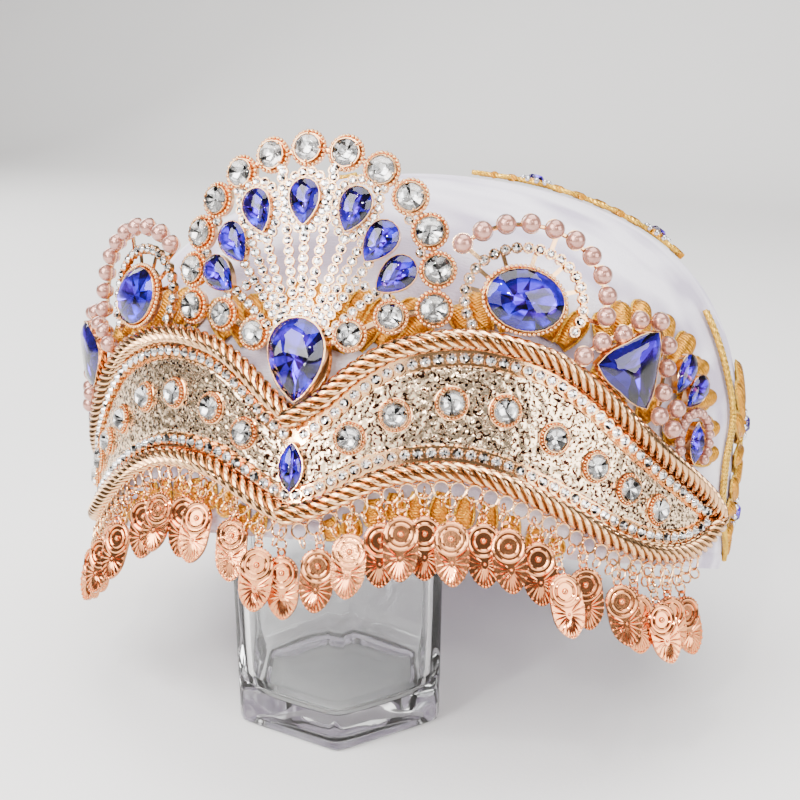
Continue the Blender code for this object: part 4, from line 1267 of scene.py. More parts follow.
def build_stone_line():
    """Line of small set stones inside a wing's ropes, on a thin wire."""
    rows = edge_rows(1, CHAIN_INSET, CHAIN_START_HIGH, CHAIN_END)
    rows = rows + list(CHAIN_TIP) + edge_rows(2, CHAIN_INSET, CHAIN_START_LOW, CHAIN_END)[::-1]
    body = wire(line_on(band_point, rows, PLATE_FRONT + 0.5), radius=0.42, step=1.8, sides=6)
    kinds = [set_small_stone(CHAIN_STONE, wall=0.3, height=1.1, seed=40 + i) for i in range(5)]
    frames = spaced_frames(line_on(band_point, rows, PLATE_FRONT + 0.1), CHAIN_PITCH)
    return deal_copies(body, kinds, frames)


def build_wings():
    """Both wings, their stone lines and their eight round stones each."""
    for side, flip, start, lift, lay in WING_SIDES:
        wing = build_wing(start, lift, lay)
        finish_piece(f"hammered_wing_{side}", wing, JEWELLED, [f"wing_{side}"], flip=flip)
    both_sides("stone_line", build_stone_line, JEWELLED, ["wing_chain"])
    for number, (angle, height) in enumerate(WING_STONES, 1):
        place = surface_frame(band_point, angle, height, PLATE_FRONT - 0.1, WING_STONE_TURN * number)
        for side, flip, *_ in WING_SIDES:
            jewel = moved(milled_setting(WING_STONE_RING, WING_STONE, WING_STONE_HEIGHT, number), place)
            name, node = f"wing_jewel_{side}_{number}", f"wing_stone_{side}_{number}"
            finish_piece(name, jewel, JEWELLED, [node], flip=flip)


def build_centre_stones():
    """Boat-shaped stone where the wings meet and the large teardrop over their point."""
    height, width, length = NAVETTE
    stone = bezel_stone(
        navette_outline(width, length, 16), seat=2.0, rise=1.5, finish=BLUE, seed=7, wall=0.32
    )
    place = surface_frame(band_point, 0.0, height, PLATE_FRONT)
    finish_piece("navette_jewel", moved(stone, place), JEWELLED, ["navette_stone"])
    height, width, length = TEARDROP
    stone = bezel_stone(
        pear_outline(width, length, 24), seat=2.2, rise=3.0, finish=BLUE, seed=11, wall=0.5, table=0.6
    )
    place = surface_frame(band_point, 0.0, height, PLATE_FRONT - 0.1)
    finish_piece("teardrop_jewel", moved(stone, place), JEWELLED, ["teardrop_stone"])


def fan_spot(number):
    """Place of an arch stone on the flat drawing, counted from the top one."""
    turn = math.radians(FAN_STEP * number)
    return FAN_HALF_WIDTH * math.sin(turn), FAN_CENTRE_HEIGHT + FAN_RISE * math.cos(turn)


def pear_spots():
    """Fan pears as (x, height, turn, halo), from the wearer's right to the left."""
    spots = []
    for x, height, halo in FAN_PEARS:
        turn = math.degrees(math.atan2(x, height - FAN_BASE_HEIGHT))
        spots.append((x, height, turn, halo))
        if x:
            spots.append((-x, height, -turn, halo))
    return sorted(spots)


def drawing_line(points, depth):
    """A line on the flat front drawing."""
    return line_on(band_point, [(x / MM_PER_DEGREE, z) for x, z in points], depth)


def fan_rays():
    """Rays of the fan as lines of the flat drawing, each with its two ends."""
    rays = []
    for turn, start, length in RAYS:
        for side in (1, -1) if turn else (1,):
            lean = math.radians(side * turn)
            ends = [(r * math.sin(lean), FAN_BASE_HEIGHT + r * math.cos(lean)) for r in (start, length)]
            rays.append(ends)
    return rays


def build_fan():
    """Fan: arch of beaded collets, rays of small stones and halos round three pears."""
    body = bmesh.new()
    arch = [fan_spot(number) for number in range(-6, 7)]
    curl = [(side * x, height) for side in (-1, 1) for x, height in CURL_STONES]
    foot_x, foot_height = ARCH_FOOT
    path = [(-foot_x, foot_height), curl[1], curl[0]] + arch + [curl[2], curl[3], ARCH_FOOT]
    add_shapes(body, wire(drawing_line(path, FAN_DEPTH), radius=0.9, step=1.6, sides=6))
    for i, (x, height) in enumerate(arch + curl):
        ring_radius, stone = (FAN_STONE_RING, FAN_STONE) if i < len(arch) else (CURL_STONE_RING, CURL_STONE)
        place = surface_frame(band_point, x / MM_PER_DEGREE, height, 0.0, FAN_STONE_TURN * i)
        add_shapes(body, moved(beaded_collet(ring_radius, stone, COLLET_HEIGHT, seed=60 + i), place))
    frames = []
    for ends in fan_rays():
        add_shapes(body, wire(drawing_line(ends, 0.5), radius=0.55, step=2.0, sides=6))
        frames += spaced_frames(drawing_line(ends, FAN_DEPTH), RAY_PITCH)
    for side in (1, -1):
        for x, height in LONE_STONES:
            frames.append(surface_frame(band_point, side * x / MM_PER_DEGREE, height, FAN_DEPTH))
    for x, height, turn, halo in pear_spots():
        if halo:
            outline = pear_outline(PEAR_WIDTH * HALO, PEAR_LENGTH * HALO, 30)
            place = surface_frame(band_point, x / MM_PER_DEGREE, height, FAN_DEPTH, -turn)
            line = [(place @ spot, place.to_3x3() @ out) for spot, out in outline_line(outline, 0.0)]
            frames += spaced_frames(line, HALO_PITCH, closed=True)
            add_shapes(body, wire(line, radius=0.5, step=1.5, sides=6, closed=True))
    kinds = [set_small_stone(RAY_STONE, wall=0.24, height=0.9, seed=80 + i) for i in range(5)]
    deal_copies(body, kinds, frames)
    hub = cup(HUB_RADIUS, HUB_RADIUS - 0.5, 0.8, sides=24)
    bmesh.ops.scale(hub, vec=HUB_SHAPE, verts=hub.verts)
    add_shapes(body, moved(hub, surface_frame(band_point, 0.0, FAN_BASE_HEIGHT, 0.2)))
    finish_piece("stone_fan", body, JEWELLED, ["fan_frame"])


def build_fan_pears():
    """Seven blue pears in thin bezels at the ends of the rays."""
    for number, (x, height, turn, _) in enumerate(pear_spots(), 1):
        outline = pear_outline(PEAR_WIDTH, PEAR_LENGTH, 20)
        stone = bezel_stone(outline, seat=1.8, rise=1.5, finish=BLUE, seed=20 + number, wall=0.28)
        place = surface_frame(band_point, x / MM_PER_DEGREE, height, 1.2, -turn)
        name, node = f"fan_jewel_{number}", f"fan_pear_{number}"
        finish_piece(name, moved(stone, place), JEWELLED, [node])


def medallion_spot(reach, turn):
    """Place round the medallion's centre, with the turn counted clockwise from the top."""
    x = MEDALLION_ANGLE * MM_PER_DEGREE + reach[0] * math.sin(math.radians(turn))
    return x, MEDALLION_HEIGHT + reach[1] * math.cos(math.radians(turn))


def stone_ring_spot(turn):
    """Place on the medallion's ring of small stones, which sits a little to its outer side."""
    x, height = medallion_spot(STONE_RING, turn)
    return x + STONE_RING_SHIFT, height


def build_medallion():
    """Medallion frame: flat bars from the seat to a ring of prong-set stones."""
    body = bmesh.new()
    ring_line = drawing_line([stone_ring_spot(turn) for turn in STONE_RING_TURNS], STONE_RING_DEPTH)
    add_shapes(body, wire(ring_line, radius=0.5, step=1.5, sides=6))
    for turn in MEDALLION_BARS:
        ends = drawing_line([medallion_spot(BAR_FOOT, turn), stone_ring_spot(turn)], BAR_DEPTH)
        add_shapes(body, bar(*ends, width=BAR_WIDTH, thickness=0.5))
    for turn in PEARL_LINKS:
        ends = drawing_line([stone_ring_spot(turn), medallion_spot(PEARL_ARC, turn)], BAR_DEPTH)
        add_shapes(body, bar(*ends, width=BAR_WIDTH, thickness=0.7))
    kinds = [set_small_stone(RING_STONE, wall=0.36, height=1.4, seed=100 + i) for i in range(4)]
    deal_copies(body, kinds, spaced_frames(ring_line, STONE_RING_PITCH))
    seat = cup(SEAT_RADIUS, SEAT_RADIUS - 0.4, 1.0, sides=28)
    bmesh.ops.scale(seat, vec=SEAT_SHAPE, verts=seat.verts)
    return add_shapes(body, moved(seat, surface_frame(band_point, MEDALLION_ANGLE, MEDALLION_HEIGHT, 1.3)))


def build_oval():
    """Oval stone in a thin bezel with a ring of grains round it."""
    width, length = OVAL_SIZE
    body = bezel_stone(oval_outline(*OVAL_STONE, 24), seat=2.6, rise=1.9, finish=BLUE, seed=31, table=0.62)
    edge = outline_line(oval_outline(width - 0.7, length - 0.7, 48), 1.6)
    deal_copies(body, [as_mesh(bead(0.6, sides=7))], spaced_frames(edge, 1.22, closed=True))
    base = open_cup(oval_outline(width - 0.9, length - 0.9, 32), wall=0.8, height=1.3)
    add_shapes(body, moved(base, shift(0, 0, -0.1)))
    return moved(body, surface_frame(band_point, MEDALLION_ANGLE, MEDALLION_HEIGHT, 2.3, OVAL_TURN))


def pearls_on_cups(spots, radius, depth):
    """Pearls in small gold cups, joined by short wires, along places of angle and height."""
    body = bmesh.new()
    line = line_on(band_point, spots, depth - radius * 0.4)
    add_shapes(body, wire(line, radius * 0.24, step=1.4, sides=6))
    frames = [surface_frame(band_point, angle, height, depth) for angle, height in spots]
    deal_copies(body, [as_mesh(bead(radius, sides=18, finish=LACQUER))], frames)
    holder = moved(cup(radius * 0.5, radius * 1.07, radius * 0.8), shift(0, 0, -radius * 0.98))
    return deal_copies(body, [as_mesh(holder)], frames)


def build_pearl_arc():
    """Arc of pearls over the medallion."""
    turns = [PEARL_ARC_FROM + PEARL_ARC_STEP * i for i in range(PEARL_ARC_COUNT)]
    drawn = [medallion_spot(PEARL_ARC, turn) for turn in turns]
    return pearls_on_cups([(x / MM_PER_DEGREE, z) for x, z in drawn], PEARL_RADIUS, PEARL_ARC_DEPTH)


def build_side_pearls():
    """Cluster of pearls round the trillion and down to the marquise."""
    return pearls_on_cups(PEARL_CLUSTER, PEARL_RADIUS, SIDE_STONE_DEPTH + PEARL_RADIUS)


def build_small_pearls():
    """Loop of small pearls over and beside the marquise."""
    angle, height, reach_x, reach_z = SMALL_PEARL_LOOP
    spots = []
    for i in range(SMALL_PEARL_COUNT):
        turn = math.radians(SMALL_PEARL_FROM + SMALL_PEARL_SWEEP * i / (SMALL_PEARL_COUNT - 1))
        spots.append((angle + reach_x / MM_PER_DEGREE * math.sin(turn), height + reach_z * math.cos(turn)))
    return pearls_on_cups(spots, SMALL_PEARL_RADIUS, SIDE_STONE_DEPTH + SMALL_PEARL_RADIUS)


def build_trillion():
    """Three-cornered stone in its bezel."""
    angle, height, reach = TRILLION
    depth = SIDE_STONE_DEPTH + reach * math.sin(math.radians(TRILLION_LEAN)) * 0.9
    outline = trillion_outline(reach, 24)
    stone = bezel_stone(outline, seat=2.5, rise=2.0, finish=BLUE, seed=37, wall=0.26, table=0.6)
    return moved(stone, surface_frame(band_point, angle, height, depth, TRILLION_CORNER, TRILLION_LEAN))


def build_side_pears():
    """Two small blue pears on one bar."""
    rows = [(angle, height) for angle, height, _ in SIDE_PEARS]
    body = wire(line_on(band_point, rows, SIDE_STONE_DEPTH + 0.6), radius=0.9, step=1.5, sides=6)
    for i, (angle, height, turn) in enumerate(SIDE_PEARS):
        outline = pear_outline(*SIDE_PEAR_SIZE, 18)
        stone = bezel_stone(outline, seat=1.9, rise=1.4, finish=BLUE, seed=41 + i, wall=0.24)
        add_shapes(body, moved(stone, surface_frame(band_point, angle, height, SIDE_STONE_DEPTH, turn)))
    return body


def build_marquise():
    """Boat-shaped stone beside the wing's tip."""
    angle, height, width, length = MARQUISE
    outline = navette_outline(width, length, 16)
    stone = bezel_stone(outline, seat=2.0, rise=1.5, finish=BLUE, seed=47, wall=0.26)
    return moved(stone, surface_frame(band_point, angle, height, SIDE_STONE_DEPTH))


def build_jewels():
    """Medallions and side clusters."""
    both_sides("medallion", build_medallion, JEWELLED, ["medallion_frame"])
    both_sides("oval_jewel", build_oval, JEWELLED, ["oval_stone"])
    both_sides("pearl_crescent", build_pearl_arc, PEARLED, ["pearl_arc"])
    both_sides("trillion_jewel", build_trillion, JEWELLED, ["trillion_stone"])
    both_sides("side_pearls", build_side_pearls, PEARLED, ["pearl_cluster"])
    both_sides("side_pear_jewels", build_side_pears, JEWELLED, ["side_pears"])
    both_sides("marquise_jewel", build_marquise, JEWELLED, ["marquise_stone"])
    both_sides("small_pearls", build_small_pearls, PEARLED, ["small_pearl_loop"])


def petal(surface, foot, tip, width, height, scale=MM_PER_DEGREE):
    """Padded petal wound with thread: its stitches cross it, and a wire loop runs round it."""
    (foot_x, foot_z), (tip_x, tip_z) = foot, tip
    run_x, run_z = (tip_x - foot_x) * scale, tip_z - foot_z
    length = math.hypot(run_x, run_z)
    side_x, side_z = -run_z / length, run_x / length
    stitches = round(length / THREAD_PITCH)

    def half_width(along):
        swell = PETAL_FOOT + (1 - PETAL_FOOT) * math.sin(math.pi * min(1.0, along * 0.62 + 0.10))
        past = max(0.0, (along - PETAL_TIP_START) / (1 - PETAL_TIP_START))
        return width / 2 * swell * math.sqrt(max(0.0, 1 - past ** 2.4))

    def spot(across, along, lift):
        reach = half_width(along) * across
        x = foot_x + (run_x * along + side_x * reach) / scale
        z = foot_z + run_z * along + side_z * reach
        return surface(x, z, lift)

    def place(share, along):
        across = 2 * share - 1
        crown = math.sqrt(max(0.0, 1 - abs(across) ** 2.2))
        ridge = 0.5 + 0.5 * math.cos(math.tau * (stitches * along + THREAD_SLANT * across))
        end = math.sqrt(max(0.0, 1 - (2 * along - 1) ** 6))
        return spot(across, along, SEAT_GAP + height * crown * end + THREAD_RIDGE * ridge * crown)

    body = paint(sheet_shape(8, stitches * 4, place), PURL)
    steps = [i / LOOP_POINTS for i in range(LOOP_POINTS + 1)]
    rim = [spot(PETAL_RIM, along, LOOP_LIFT) for along in steps]
    rim += [spot(-PETAL_RIM, along, LOOP_LIFT) for along in reversed(steps)]
    out = outward(surface, foot_x, foot_z)
    line = [(point, out) for point in rim]
    add_shapes(body, rope(line, radius=0.42, lead=2.2, strands=2, finish=CORD))
    bmesh.ops.recalc_face_normals(body, faces=body.faces)
    return body


def cap_drawing(x, height, depth):
    """Point of the cap by distance across in millimetres and height."""
    return cap_point(x / MM_PER_DEGREE, height, depth)


def build_fan_bullion():
    """Petals of gold bullion on the cap behind the fan."""
    body = bmesh.new()
    for foot_x, foot_z, tip_x, tip_z, width, height in FAN_PETALS:
        for side in (1, -1) if foot_x else (1,):
            foot, tip = (side * foot_x, foot_z), (side * tip_x, tip_z)
            add_shapes(body, petal(cap_drawing, foot, tip, width, height, scale=1.0))
    return body


def build_petals(rows):
    """Petals of gold bullion from a table."""
    body = bmesh.new()
    for foot_angle, foot_height, tip_angle, tip_height, width, height in rows:
        foot, tip = (foot_angle, foot_height), (tip_angle, tip_height)
        add_shapes(body, petal(cap_point, foot, tip, width, height))
    return body


def motif_gem(place, seed):
    """Violet-blue stone sewn on, with a ring of silver seed beads."""
    across = 2 * MOTIF_STONE
    body = open_cup(oval_outline(across + 0.4, across + 0.4, 16), wall=0.2, height=1.6)
    gem = cut_stone(oval_outline(across, across, 16), rise=1.4, drop=1.0, finish=VIOLET, seed=seed)
    add_shapes(body, moved(gem, shift(0, 0, 1.5)))
    turns = [math.tau * i / MOTIF_BEADS for i in range(MOTIF_BEADS)]
    places = [shift(MOTIF_BEAD_RING * math.cos(t), MOTIF_BEAD_RING * math.sin(t), 1.1) for t in turns]
    deal_copies(body, [as_mesh(bead(0.95, sides=8, finish=SEED_BEAD))], places)
    return moved(body, place)


def build_side_motif():
    """Side motif: double gold cords curve up from a stem, with leaves and two sewn stones."""
    body = bmesh.new()

    def on_cap(x, height, depth):
        return cap_point(SIDE_MOTIF_ANGLE + x / MM_PER_DEGREE, height, depth)

    def cord_row(height, side, apart):
        middle = smooth_row(SIDE_MOTIF_CORD, height, 1) * MM_PER_DEGREE
        return side * (middle + apart), height

    heights = [SIDE_CORD_FOOT + SIDE_CORD_RISE * (i / CORD_POINTS) ** 1.5 for i in range(CORD_POINTS + 1)]
    for side in (1, -1):
        for apart in (-SIDE_CORD_APART, SIDE_CORD_APART):
            rows = [cord_row(height, side, apart) for height in heights]
            add_shapes(body, rope(line_on(on_cap, rows, CORD_LIFT), CORD_RADIUS, CORD_LEAD, finish=CORD))
        for foot_x, foot_z, tip_x, tip_z in SIDE_MOTIF_LEAVES:
            foot, tip = (side * foot_x, foot_z), (side * tip_x, tip_z)
            add_shapes(body, petal(on_cap, foot, tip, *MOTIF_LEAF, scale=1.0))
    stem = [STEM_FOOT + STEM_LENGTH * i / 20 for i in range(21)]
    for apart in (-STEM_APART, STEM_APART):
        line = [(on_cap(apart, z, CORD_LIFT), outward(on_cap, 0, z)) for z in stem]
        add_shapes(body, rope(line, CORD_RADIUS, CORD_LEAD, finish=CORD))
    for i, height in enumerate(SIDE_MOTIF_STONES):
        place = surface_frame(cap_point, SIDE_MOTIF_ANGLE, height, SEAT_GAP + 0.4)
        add_shapes(body, motif_gem(place, 130 + i))
    return body


def build_top_motif():
    """Top motif: twin cords with leaves and two sewn stones, from the crown down the side."""
    body = bmesh.new()

    def middle(at):
        return smooth_row(TOP_MOTIF, at, 1), smooth_row(TOP_MOTIF, at, 2)

    def spot(at, across, depth):
        here = dome_point(*middle(at), 0.0)
        out = outward(dome_point, *middle(at))
        along = (dome_point(*middle(at + 0.05), 0.0) - here).normalized()
        return here + along.cross(out).normalized() * across + out * depth, out

    for across in (-TOP_CORD_APART, TOP_CORD_APART):
        line = []
        for i in range(49):
            at = TOP_CORD_END * i / 48
            sway = across * (0.75 + 0.35 * math.cos(math.tau * at * 1.3))
            line.append(spot(at, sway, CORD_LIFT))
        add_shapes(body, rope(line, CORD_RADIUS, CORD_LEAD, finish=CORD))
    for at in TOP_MOTIF_LEAVES:
        for side in (1, -1):
            points = range(TOP_LEAF_POINTS)
            line = [spot(at + 0.012 * k * side, side * (0.5 + 0.42 * k), SEAT_GAP + 0.8) for k in points]
            add_shapes(body, rope(line, radius=1.15, lead=3.0, step=0.3, groove=0.35, finish=PURL))
    for i, at in enumerate(TOP_MOTIF_STONES):
        add_shapes(body, motif_gem(surface_frame(dome_point, *middle(at), SEAT_GAP + 0.4), 140 + i))
    return body


def build_embroidery():
    """All the gold thread work."""
    finish_piece("fan_bullion", build_fan_bullion(), BULLION_WORK, ["fan_embroidery"])
    for name, rows in (("side", SIDE_PETALS), ("hem", HEM_LOBES)):
        nodes = [f"{name}_embroidery"]
        both_sides(f"{name}_bullion", lambda: build_petals(rows), BULLION_WORK, nodes)
    both_sides("side_scroll", build_side_motif, BULLION_WORK, ["side_motif"])
    both_sides("top_scroll", build_top_motif, BULLION_WORK, ["top_motif"])


def hanging_frame(angle, height, depth):
    """Frame of a drop against the front: Y against gravity along the band, Z out of it."""
    place = surface_frame(band_point, angle, height, depth)
    down = CROWN.to_3x3().inverted() @ Vector((0, 0, -1))
    out = place.to_3x3().col[2]
    up = -(down - out * down.dot(out)).normalized()
    hang = Matrix((up.cross(out), up, out)).transposed().to_4x4()
    hang.translation = place.translation
    return hang


def head_height(angle):
    """Height of the middle of the lace under the lower rope."""
    at = min(angle, WING_END)
    return smooth_row(WING_EDGES, at, 2) - ROPE_RADIUS * rope_slant(at, 2) - LACE_FALL


def drop_mesh():
    """One drop: a boss with rings and a dot over a ribbed palm leaf, with grains round its top."""
    bm = bmesh.new()
    bmesh.ops.create_circle(bm, cap_ends=True, segments=DROP_SIDES, radius=BOSS_RADIUS)
    for vert in bm.verts:
        if vert.co.y < 0:
            share = -vert.co.y / BOSS_RADIUS
            vert.co.x *= 1 + 0.2 * math.sin(math.pi * share ** 2)
            vert.co.y *= LEAF_LENGTH / BOSS_RADIUS
    made = bmesh.ops.extrude_face_region(bm, geom=bm.faces[:])["geom"]
    verts = [item for item in made if isinstance(item, bmesh.types.BMVert)]
    bmesh.ops.translate(bm, verts=verts, vec=(0, 0, DROP_THICKNESS))
    bmesh.ops.recalc_face_normals(bm, faces=bm.faces)
    paint(bm, METAL)
    front = shift(0, 0, DROP_THICKNESS)
    for radius, thickness in ((BOSS_RADIUS - 0.5, 0.5), (BOSS_RADIUS - 1.9, 0.46)):
        add_shapes(bm, moved(ring(radius, thickness, sides=28), front))
    add_shapes(bm, moved(bead(0.85, sides=10), front))
    reach = BOSS_RADIUS - 0.1
    for turn in [math.radians(12 + 13 * i) for i in range(BOSS_GRAINS)]:
        place = shift(reach * math.cos(turn), reach * math.sin(turn), DROP_THICKNESS)
        add_shapes(bm, moved(bead(0.42, sides=6), place))
    out = Vector((0, 0, 1))
    heart = Vector((0, -LEAF_HEART, DROP_THICKNESS))
    edge = [vert.co.copy() for vert in bm.verts[:DROP_SIDES] if vert.co.y < -0.5 * BOSS_RADIUS]
    for spot in edge:
        rim = heart.lerp(Vector((spot.x, spot.y, DROP_THICKNESS)), 0.93)
        rib = [(heart.lerp(rim, share), out) for share in (0.22, 0.6, 0.92)]
        add_shapes(bm, wire(rib, radius=0.34, step=0.9, sides=5))
        add_shapes(bm, moved(bead(0.44, sides=6), Matrix.Translation(rim)))
    add_shapes(bm, moved(bead(0.5, sides=6), Matrix.Translation(heart)))
    add_shapes(bm, moved(ring(1.0, 0.34, sides=10), shift(0, BOSS_RADIUS + 0.9, 0.5)))
    return as_mesh(bm)


def build_fringe(drops, seed, middle, share):
    """Fringe of one wing: lace of open rings under the rope, and drops that turn toward an angle."""
    body = bmesh.new()
    draw = random.Random(seed)
    span = FRINGE_END - FRINGE_START
    angles = [FRINGE_START + span * i / LACE_POINTS for i in range(LACE_POINTS + 1)]
    rows = [(angle, head_height(angle)) for angle in angles]
    frames = spaced_frames(line_on(band_point, rows, LACE_DEPTH), LACE_PITCH)
    lace = as_mesh(ring(LACE_RING, 0.32, sides=18, finish=LINKS))
    grain = as_mesh(bead(0.6, sides=6, finish=LINKS))
    upright = Matrix.Rotation(math.radians(90), 4, "Y")
    link = as_mesh(moved(ring(1.5, 0.28, sides=12, finish=LINKS), upright))
    flat_link = as_mesh(ring(1.4, 0.28, sides=14, finish=LINKS))
    add_copies(body, lace, frames)
    add_copies(body, grain, [place @ shift(LACE_PITCH / 2, 1.1, 0.2) for place in frames])
    add_copies(body, link, [place @ shift(0, -LACE_RING - 1.0, 0) for place in frames])
    drop = drop_mesh()
    least_turn, most_turn = DROP_TURN_LIMITS
    for number, (angle, fall) in enumerate(drops):
        rope_height = smooth_row(WING_EDGES, min(angle, WING_END), 2)
        place = hanging_frame(angle, rope_height - fall, DROP_BACK)
        length = BOSS_RADIUS
        top = place.translation
        while top.z < head_height(math.degrees(math.atan2(top.x, -top.y))):
            length += 0.25
            top = place @ Vector((0, length, 0))
        place.translation = top
        swing = DROP_SWING * (number % 2) + draw.uniform(*DROP_SWING_RANGE)
        turn = max(least_turn, min(most_turn, share * (middle - angle))) + draw.uniform(*DROP_TURN_RANGE)
        hung = place @ Matrix.Rotation(math.radians(swing), 4, "X")
        facing = Matrix.Rotation(math.radians(turn), 4, "Y")
        add_copies(body, drop, [hung @ shift(0, -length, 0) @ facing])
        gap = length - BOSS_RADIUS - DROP_EYE
        links = max(1, round(gap / LINK_PITCH))
        for i in range(links):
            at = shift(0, -gap * (i + 0.5) / links, 0.4)
            add_copies(body, flat_link if i % 2 else link, [hung @ at])
    return body


def build_fringes():
    """Both fringes."""
    for side, flip, drops, seed, middle, share in FRINGE_SIDES:
        fringe = build_fringe(drops, seed, middle, share)
        node = f"fringe_{side}"
        finish_piece(f"leaf_fringe_{side}", fringe, FRINGE_METAL, [node], flip=flip)


def build_cap():
    """Cap: a fine dome with soft dents and folds, its cloth wall and a bound hem."""
    bm = bmesh.new()
    bmesh.ops.create_uvsphere(bm, u_segments=CAP_COLUMNS, v_segments=2 * CAP_LEVELS, radius=1)
    below = [vert for vert in bm.verts if vert.co.z < -0.001]
    bmesh.ops.delete(bm, geom=below, context="VERTS")
    for vert in bm.verts:
        level = math.degrees(math.asin(min(1.0, max(0.0, vert.co.z))))
        angle = math.degrees(math.atan2(vert.co.x, -vert.co.y))
        spot = dome_point(angle, level, 0.0)
        dent = DENT_DEPTH * (0.5 + 0.5 * noise.noise(spot / DENT_SIZE))
        fold = Vector([at / size for at, size in zip(spot, FOLD_SIZE)])
        crease = FOLD_DEPTH * max(0.0, noise.noise(fold)) ** 1.2
        out = (spot - CAP_HEART).normalized()
        vert.co = spot - out * (dent + crease) * min(1.0, level / SMOOTH_LEVEL)
    bmesh.ops.recalc_face_normals(bm, faces=bm.faces)
    bmesh.ops.solidify(bm, geom=bm.faces[:], thickness=CAP_WALL)
    bmesh.ops.recalc_face_normals(bm, faces=bm.faces)
    finish_piece("velvet_cap", paint(bm, METAL), [VELVET], ["cap"])

    def binding(share, round_share):
        turn = math.tau * round_share
        lift = -CAP_WALL / 2 + (CAP_WALL / 2 + HEM_PADDING) * math.cos(turn)
        height = HEM_HEIGHT / 2 + HEM_HEIGHT / 2 * math.sin(turn)
        return cap_point(360 * share, max(0.05, height), lift)

    hem = sealed(sheet_shape(CAP_COLUMNS, 16, binding))
    finish_piece("bound_hem", paint(hem, METAL), [VELVET], ["cap"])


def build_jar():
    """Jar: six-sided body with soft corners, thick foot and round neck, turned from a profile."""
    last = len(JAR_PROFILE) - 1

    def place(share, along):
        row = round(along * last * JAR_STEPS) / JAR_STEPS
        low = min(int(row), last - 1)
        part = row - low
        here, there = JAR_PROFILE[low], JAR_PROFILE[low + 1]
        height, radius, roundness = (a + (b - a) * part for a, b in zip(here, there))
        turn = 360 * share
        corner = math.radians(turn % JAR_FACE - JAR_FACE / 2)
        flat = min(math.cos(math.radians(JAR_FACE / 2)) / math.cos(corner), JAR_CORNER)
        reach = radius * (flat + (1 - flat) * roundness)
        at = math.radians(JAR_TURN + turn)
        return Vector((reach * math.cos(at), reach * math.sin(at), height))

    jar = sheet_shape(JAR_SIDES, last * JAR_STEPS, place)
    bmesh.ops.remove_doubles(jar, verts=jar.verts, dist=0.0005)
    bmesh.ops.recalc_face_normals(jar, faces=jar.faces)
    finish_piece("hexagonal_jar", paint(jar, METAL), [JAR_GLASS], ["jar"], place=TABLE)


def build_floor():
    """Pale floor that sweeps up behind."""
    def sweep(share, along):
        run = FLOOR_RUN * along + FLOOR_FRONT
        bend = max(0.0, run - FLOOR_BEND)
        back = run if bend == 0 else FLOOR_BEND + 0.8 * math.sin(bend)
        return Vector((FLOOR_WIDTH * (share - 0.5), back, bend ** 1.6))

    floor = sheet_shape(2, FLOOR_STEPS, sweep)
    bmesh.ops.recalc_face_normals(floor, faces=floor.faces)
    if floor.faces[0].normal.z < 0:
        bmesh.ops.reverse_faces(floor, faces=floor.faces)
    mesh = bpy.data.meshes.new("floor")
    paint(floor, METAL).to_mesh(mesh)
    floor.free()
    mesh.materials.append(floor_material())
    ground = bpy.data.objects.new("floor", mesh)
    bpy.context.scene.collection.objects.link(ground)


def build_lights():
    """Large softboxes, three small glints for the facets, and an even pale surround."""
    for name, place, size, watts in LIGHTS:
        light = bpy.data.lights.new(name, "AREA")
        light.shape = "SQUARE"
        light.size = size
        light.energy = watts
        lamp = bpy.data.objects.new(name, light)
        lamp.location = place
        lamp.rotation_euler = (LIGHT_AIM - Vector(place)).to_track_quat("-Z", "Y").to_euler()
        bpy.context.scene.collection.objects.link(lamp)
    world = bpy.data.worlds.new("studio")
    world.use_nodes = True
    background = world.node_tree.nodes["Background"]
    set_inputs(world.node_tree, background, {"Color": linear("f1efee"), "Strength": WORLD_LIGHT})
    bpy.context.scene.world = world


def build_camera():
    """Camera at the photo's angle."""
    camera = bpy.data.cameras.new("camera")
    camera.sensor_width = SENSOR
    camera.lens = CAMERA_LENS
    viewer = bpy.data.objects.new("camera", camera)
    viewer.location = CAMERA_PLACE
    viewer.rotation_euler = Vector(CAMERA_FORWARD).to_track_quat("-Z", "Y").to_euler()
    bpy.context.scene.collection.objects.link(viewer)
    bpy.context.scene.camera = viewer


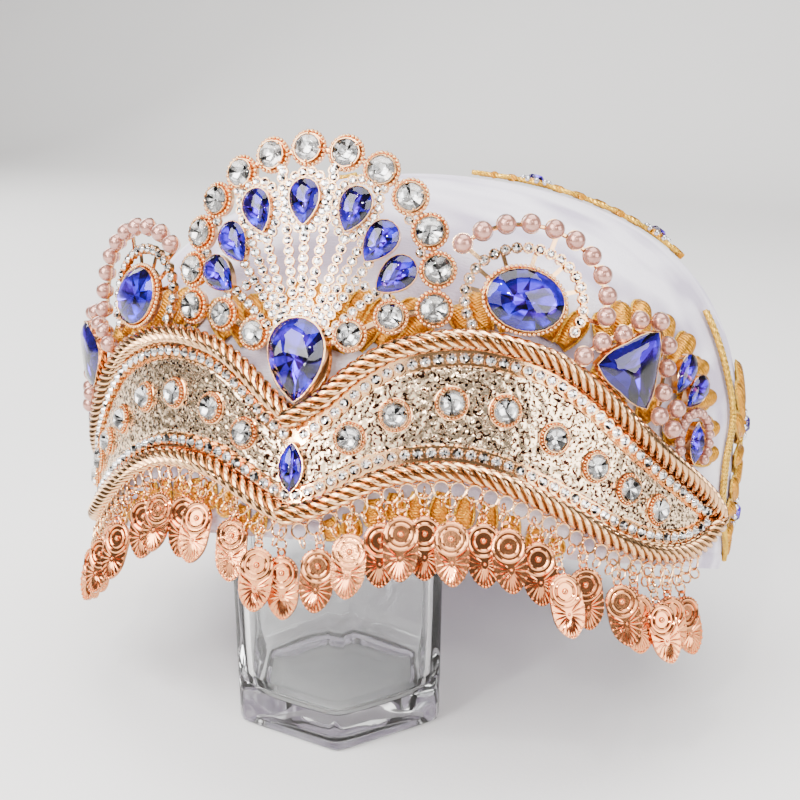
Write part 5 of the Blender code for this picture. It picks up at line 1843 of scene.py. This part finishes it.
VELVET = velvet_material()
ROSE_GOLD = plating_material(
    "rose_gold_plating", low="e0a06c", high="f8cf9c", roughness=0.13, grain=1.2, depth=0.02
)
HAMMERED = hammered_material()
# Redder than the rose gold: partly the drops' own copper plating, partly a painted red reflection
COPPER_GOLD_AND_PAINTED_REFLECTION = plating_material(
    "copper_gold_and_painted_reflection", low="d08052", high="eea672", roughness=0.14, grain=1.0, depth=0.02
)
SILVER = plating_material(
    "silver_lined_bead", low="cfd0d6", high="f3f3f6", roughness=0.15, grain=1.0, depth=0.01
)
CLEAR_STONE = stone_glass_material("clear_cut_glass", tint="fbfaf7", paler="ffffff", glare=0.3)
# Foils run from near black to white, pale blue or pale violet: painted flashes of reflected light on the
# facets
CLEAR_BACK = foil_material("silver_foil", "0e0c0b", "e4e0dd", "ffffff", metallic=0.75)
BLUE_STONE = stone_glass_material("cobalt_cut_glass", tint="a458ff", paler="b068ff", glare=0.12)
BLUE_BACK = foil_material("cobalt_foil", "140022", "50018c", "7c60ff", metallic=0.7)
VIOLET_STONE = stone_glass_material("violet_cut_glass", tint="b088ff", paler="d0b4ff", glare=0.2)
VIOLET_BACK = foil_material("violet_foil", "18002c", "4a1290", "9068ff", metallic=0.6)
PEARL = pearl_material()
BULLION = thread_material("amber_gilt_purl", low="8a4a06", high="f4b034", roughness=0.3)
GOLD_CORD = thread_material("yellow_gilt_cord", low="c58a16", high="ffd65a", roughness=0.28)
JAR_GLASS = jar_material()
JEWELLED = [ROSE_GOLD, CLEAR_STONE, CLEAR_BACK, BLUE_STONE, BLUE_BACK, HAMMERED]
PEARLED = [ROSE_GOLD, PEARL]
BULLION_WORK = [BULLION, GOLD_CORD, SILVER, VIOLET_STONE, VIOLET_BACK]
FRINGE_METAL = [COPPER_GOLD_AND_PAINTED_REFLECTION, ROSE_GOLD]

build_cap()
build_wings()
build_centre_stones()
build_fan()
build_fan_pears()
build_jewels()
build_embroidery()
build_fringes()
build_jar()
build_floor()
build_lights()
build_camera()
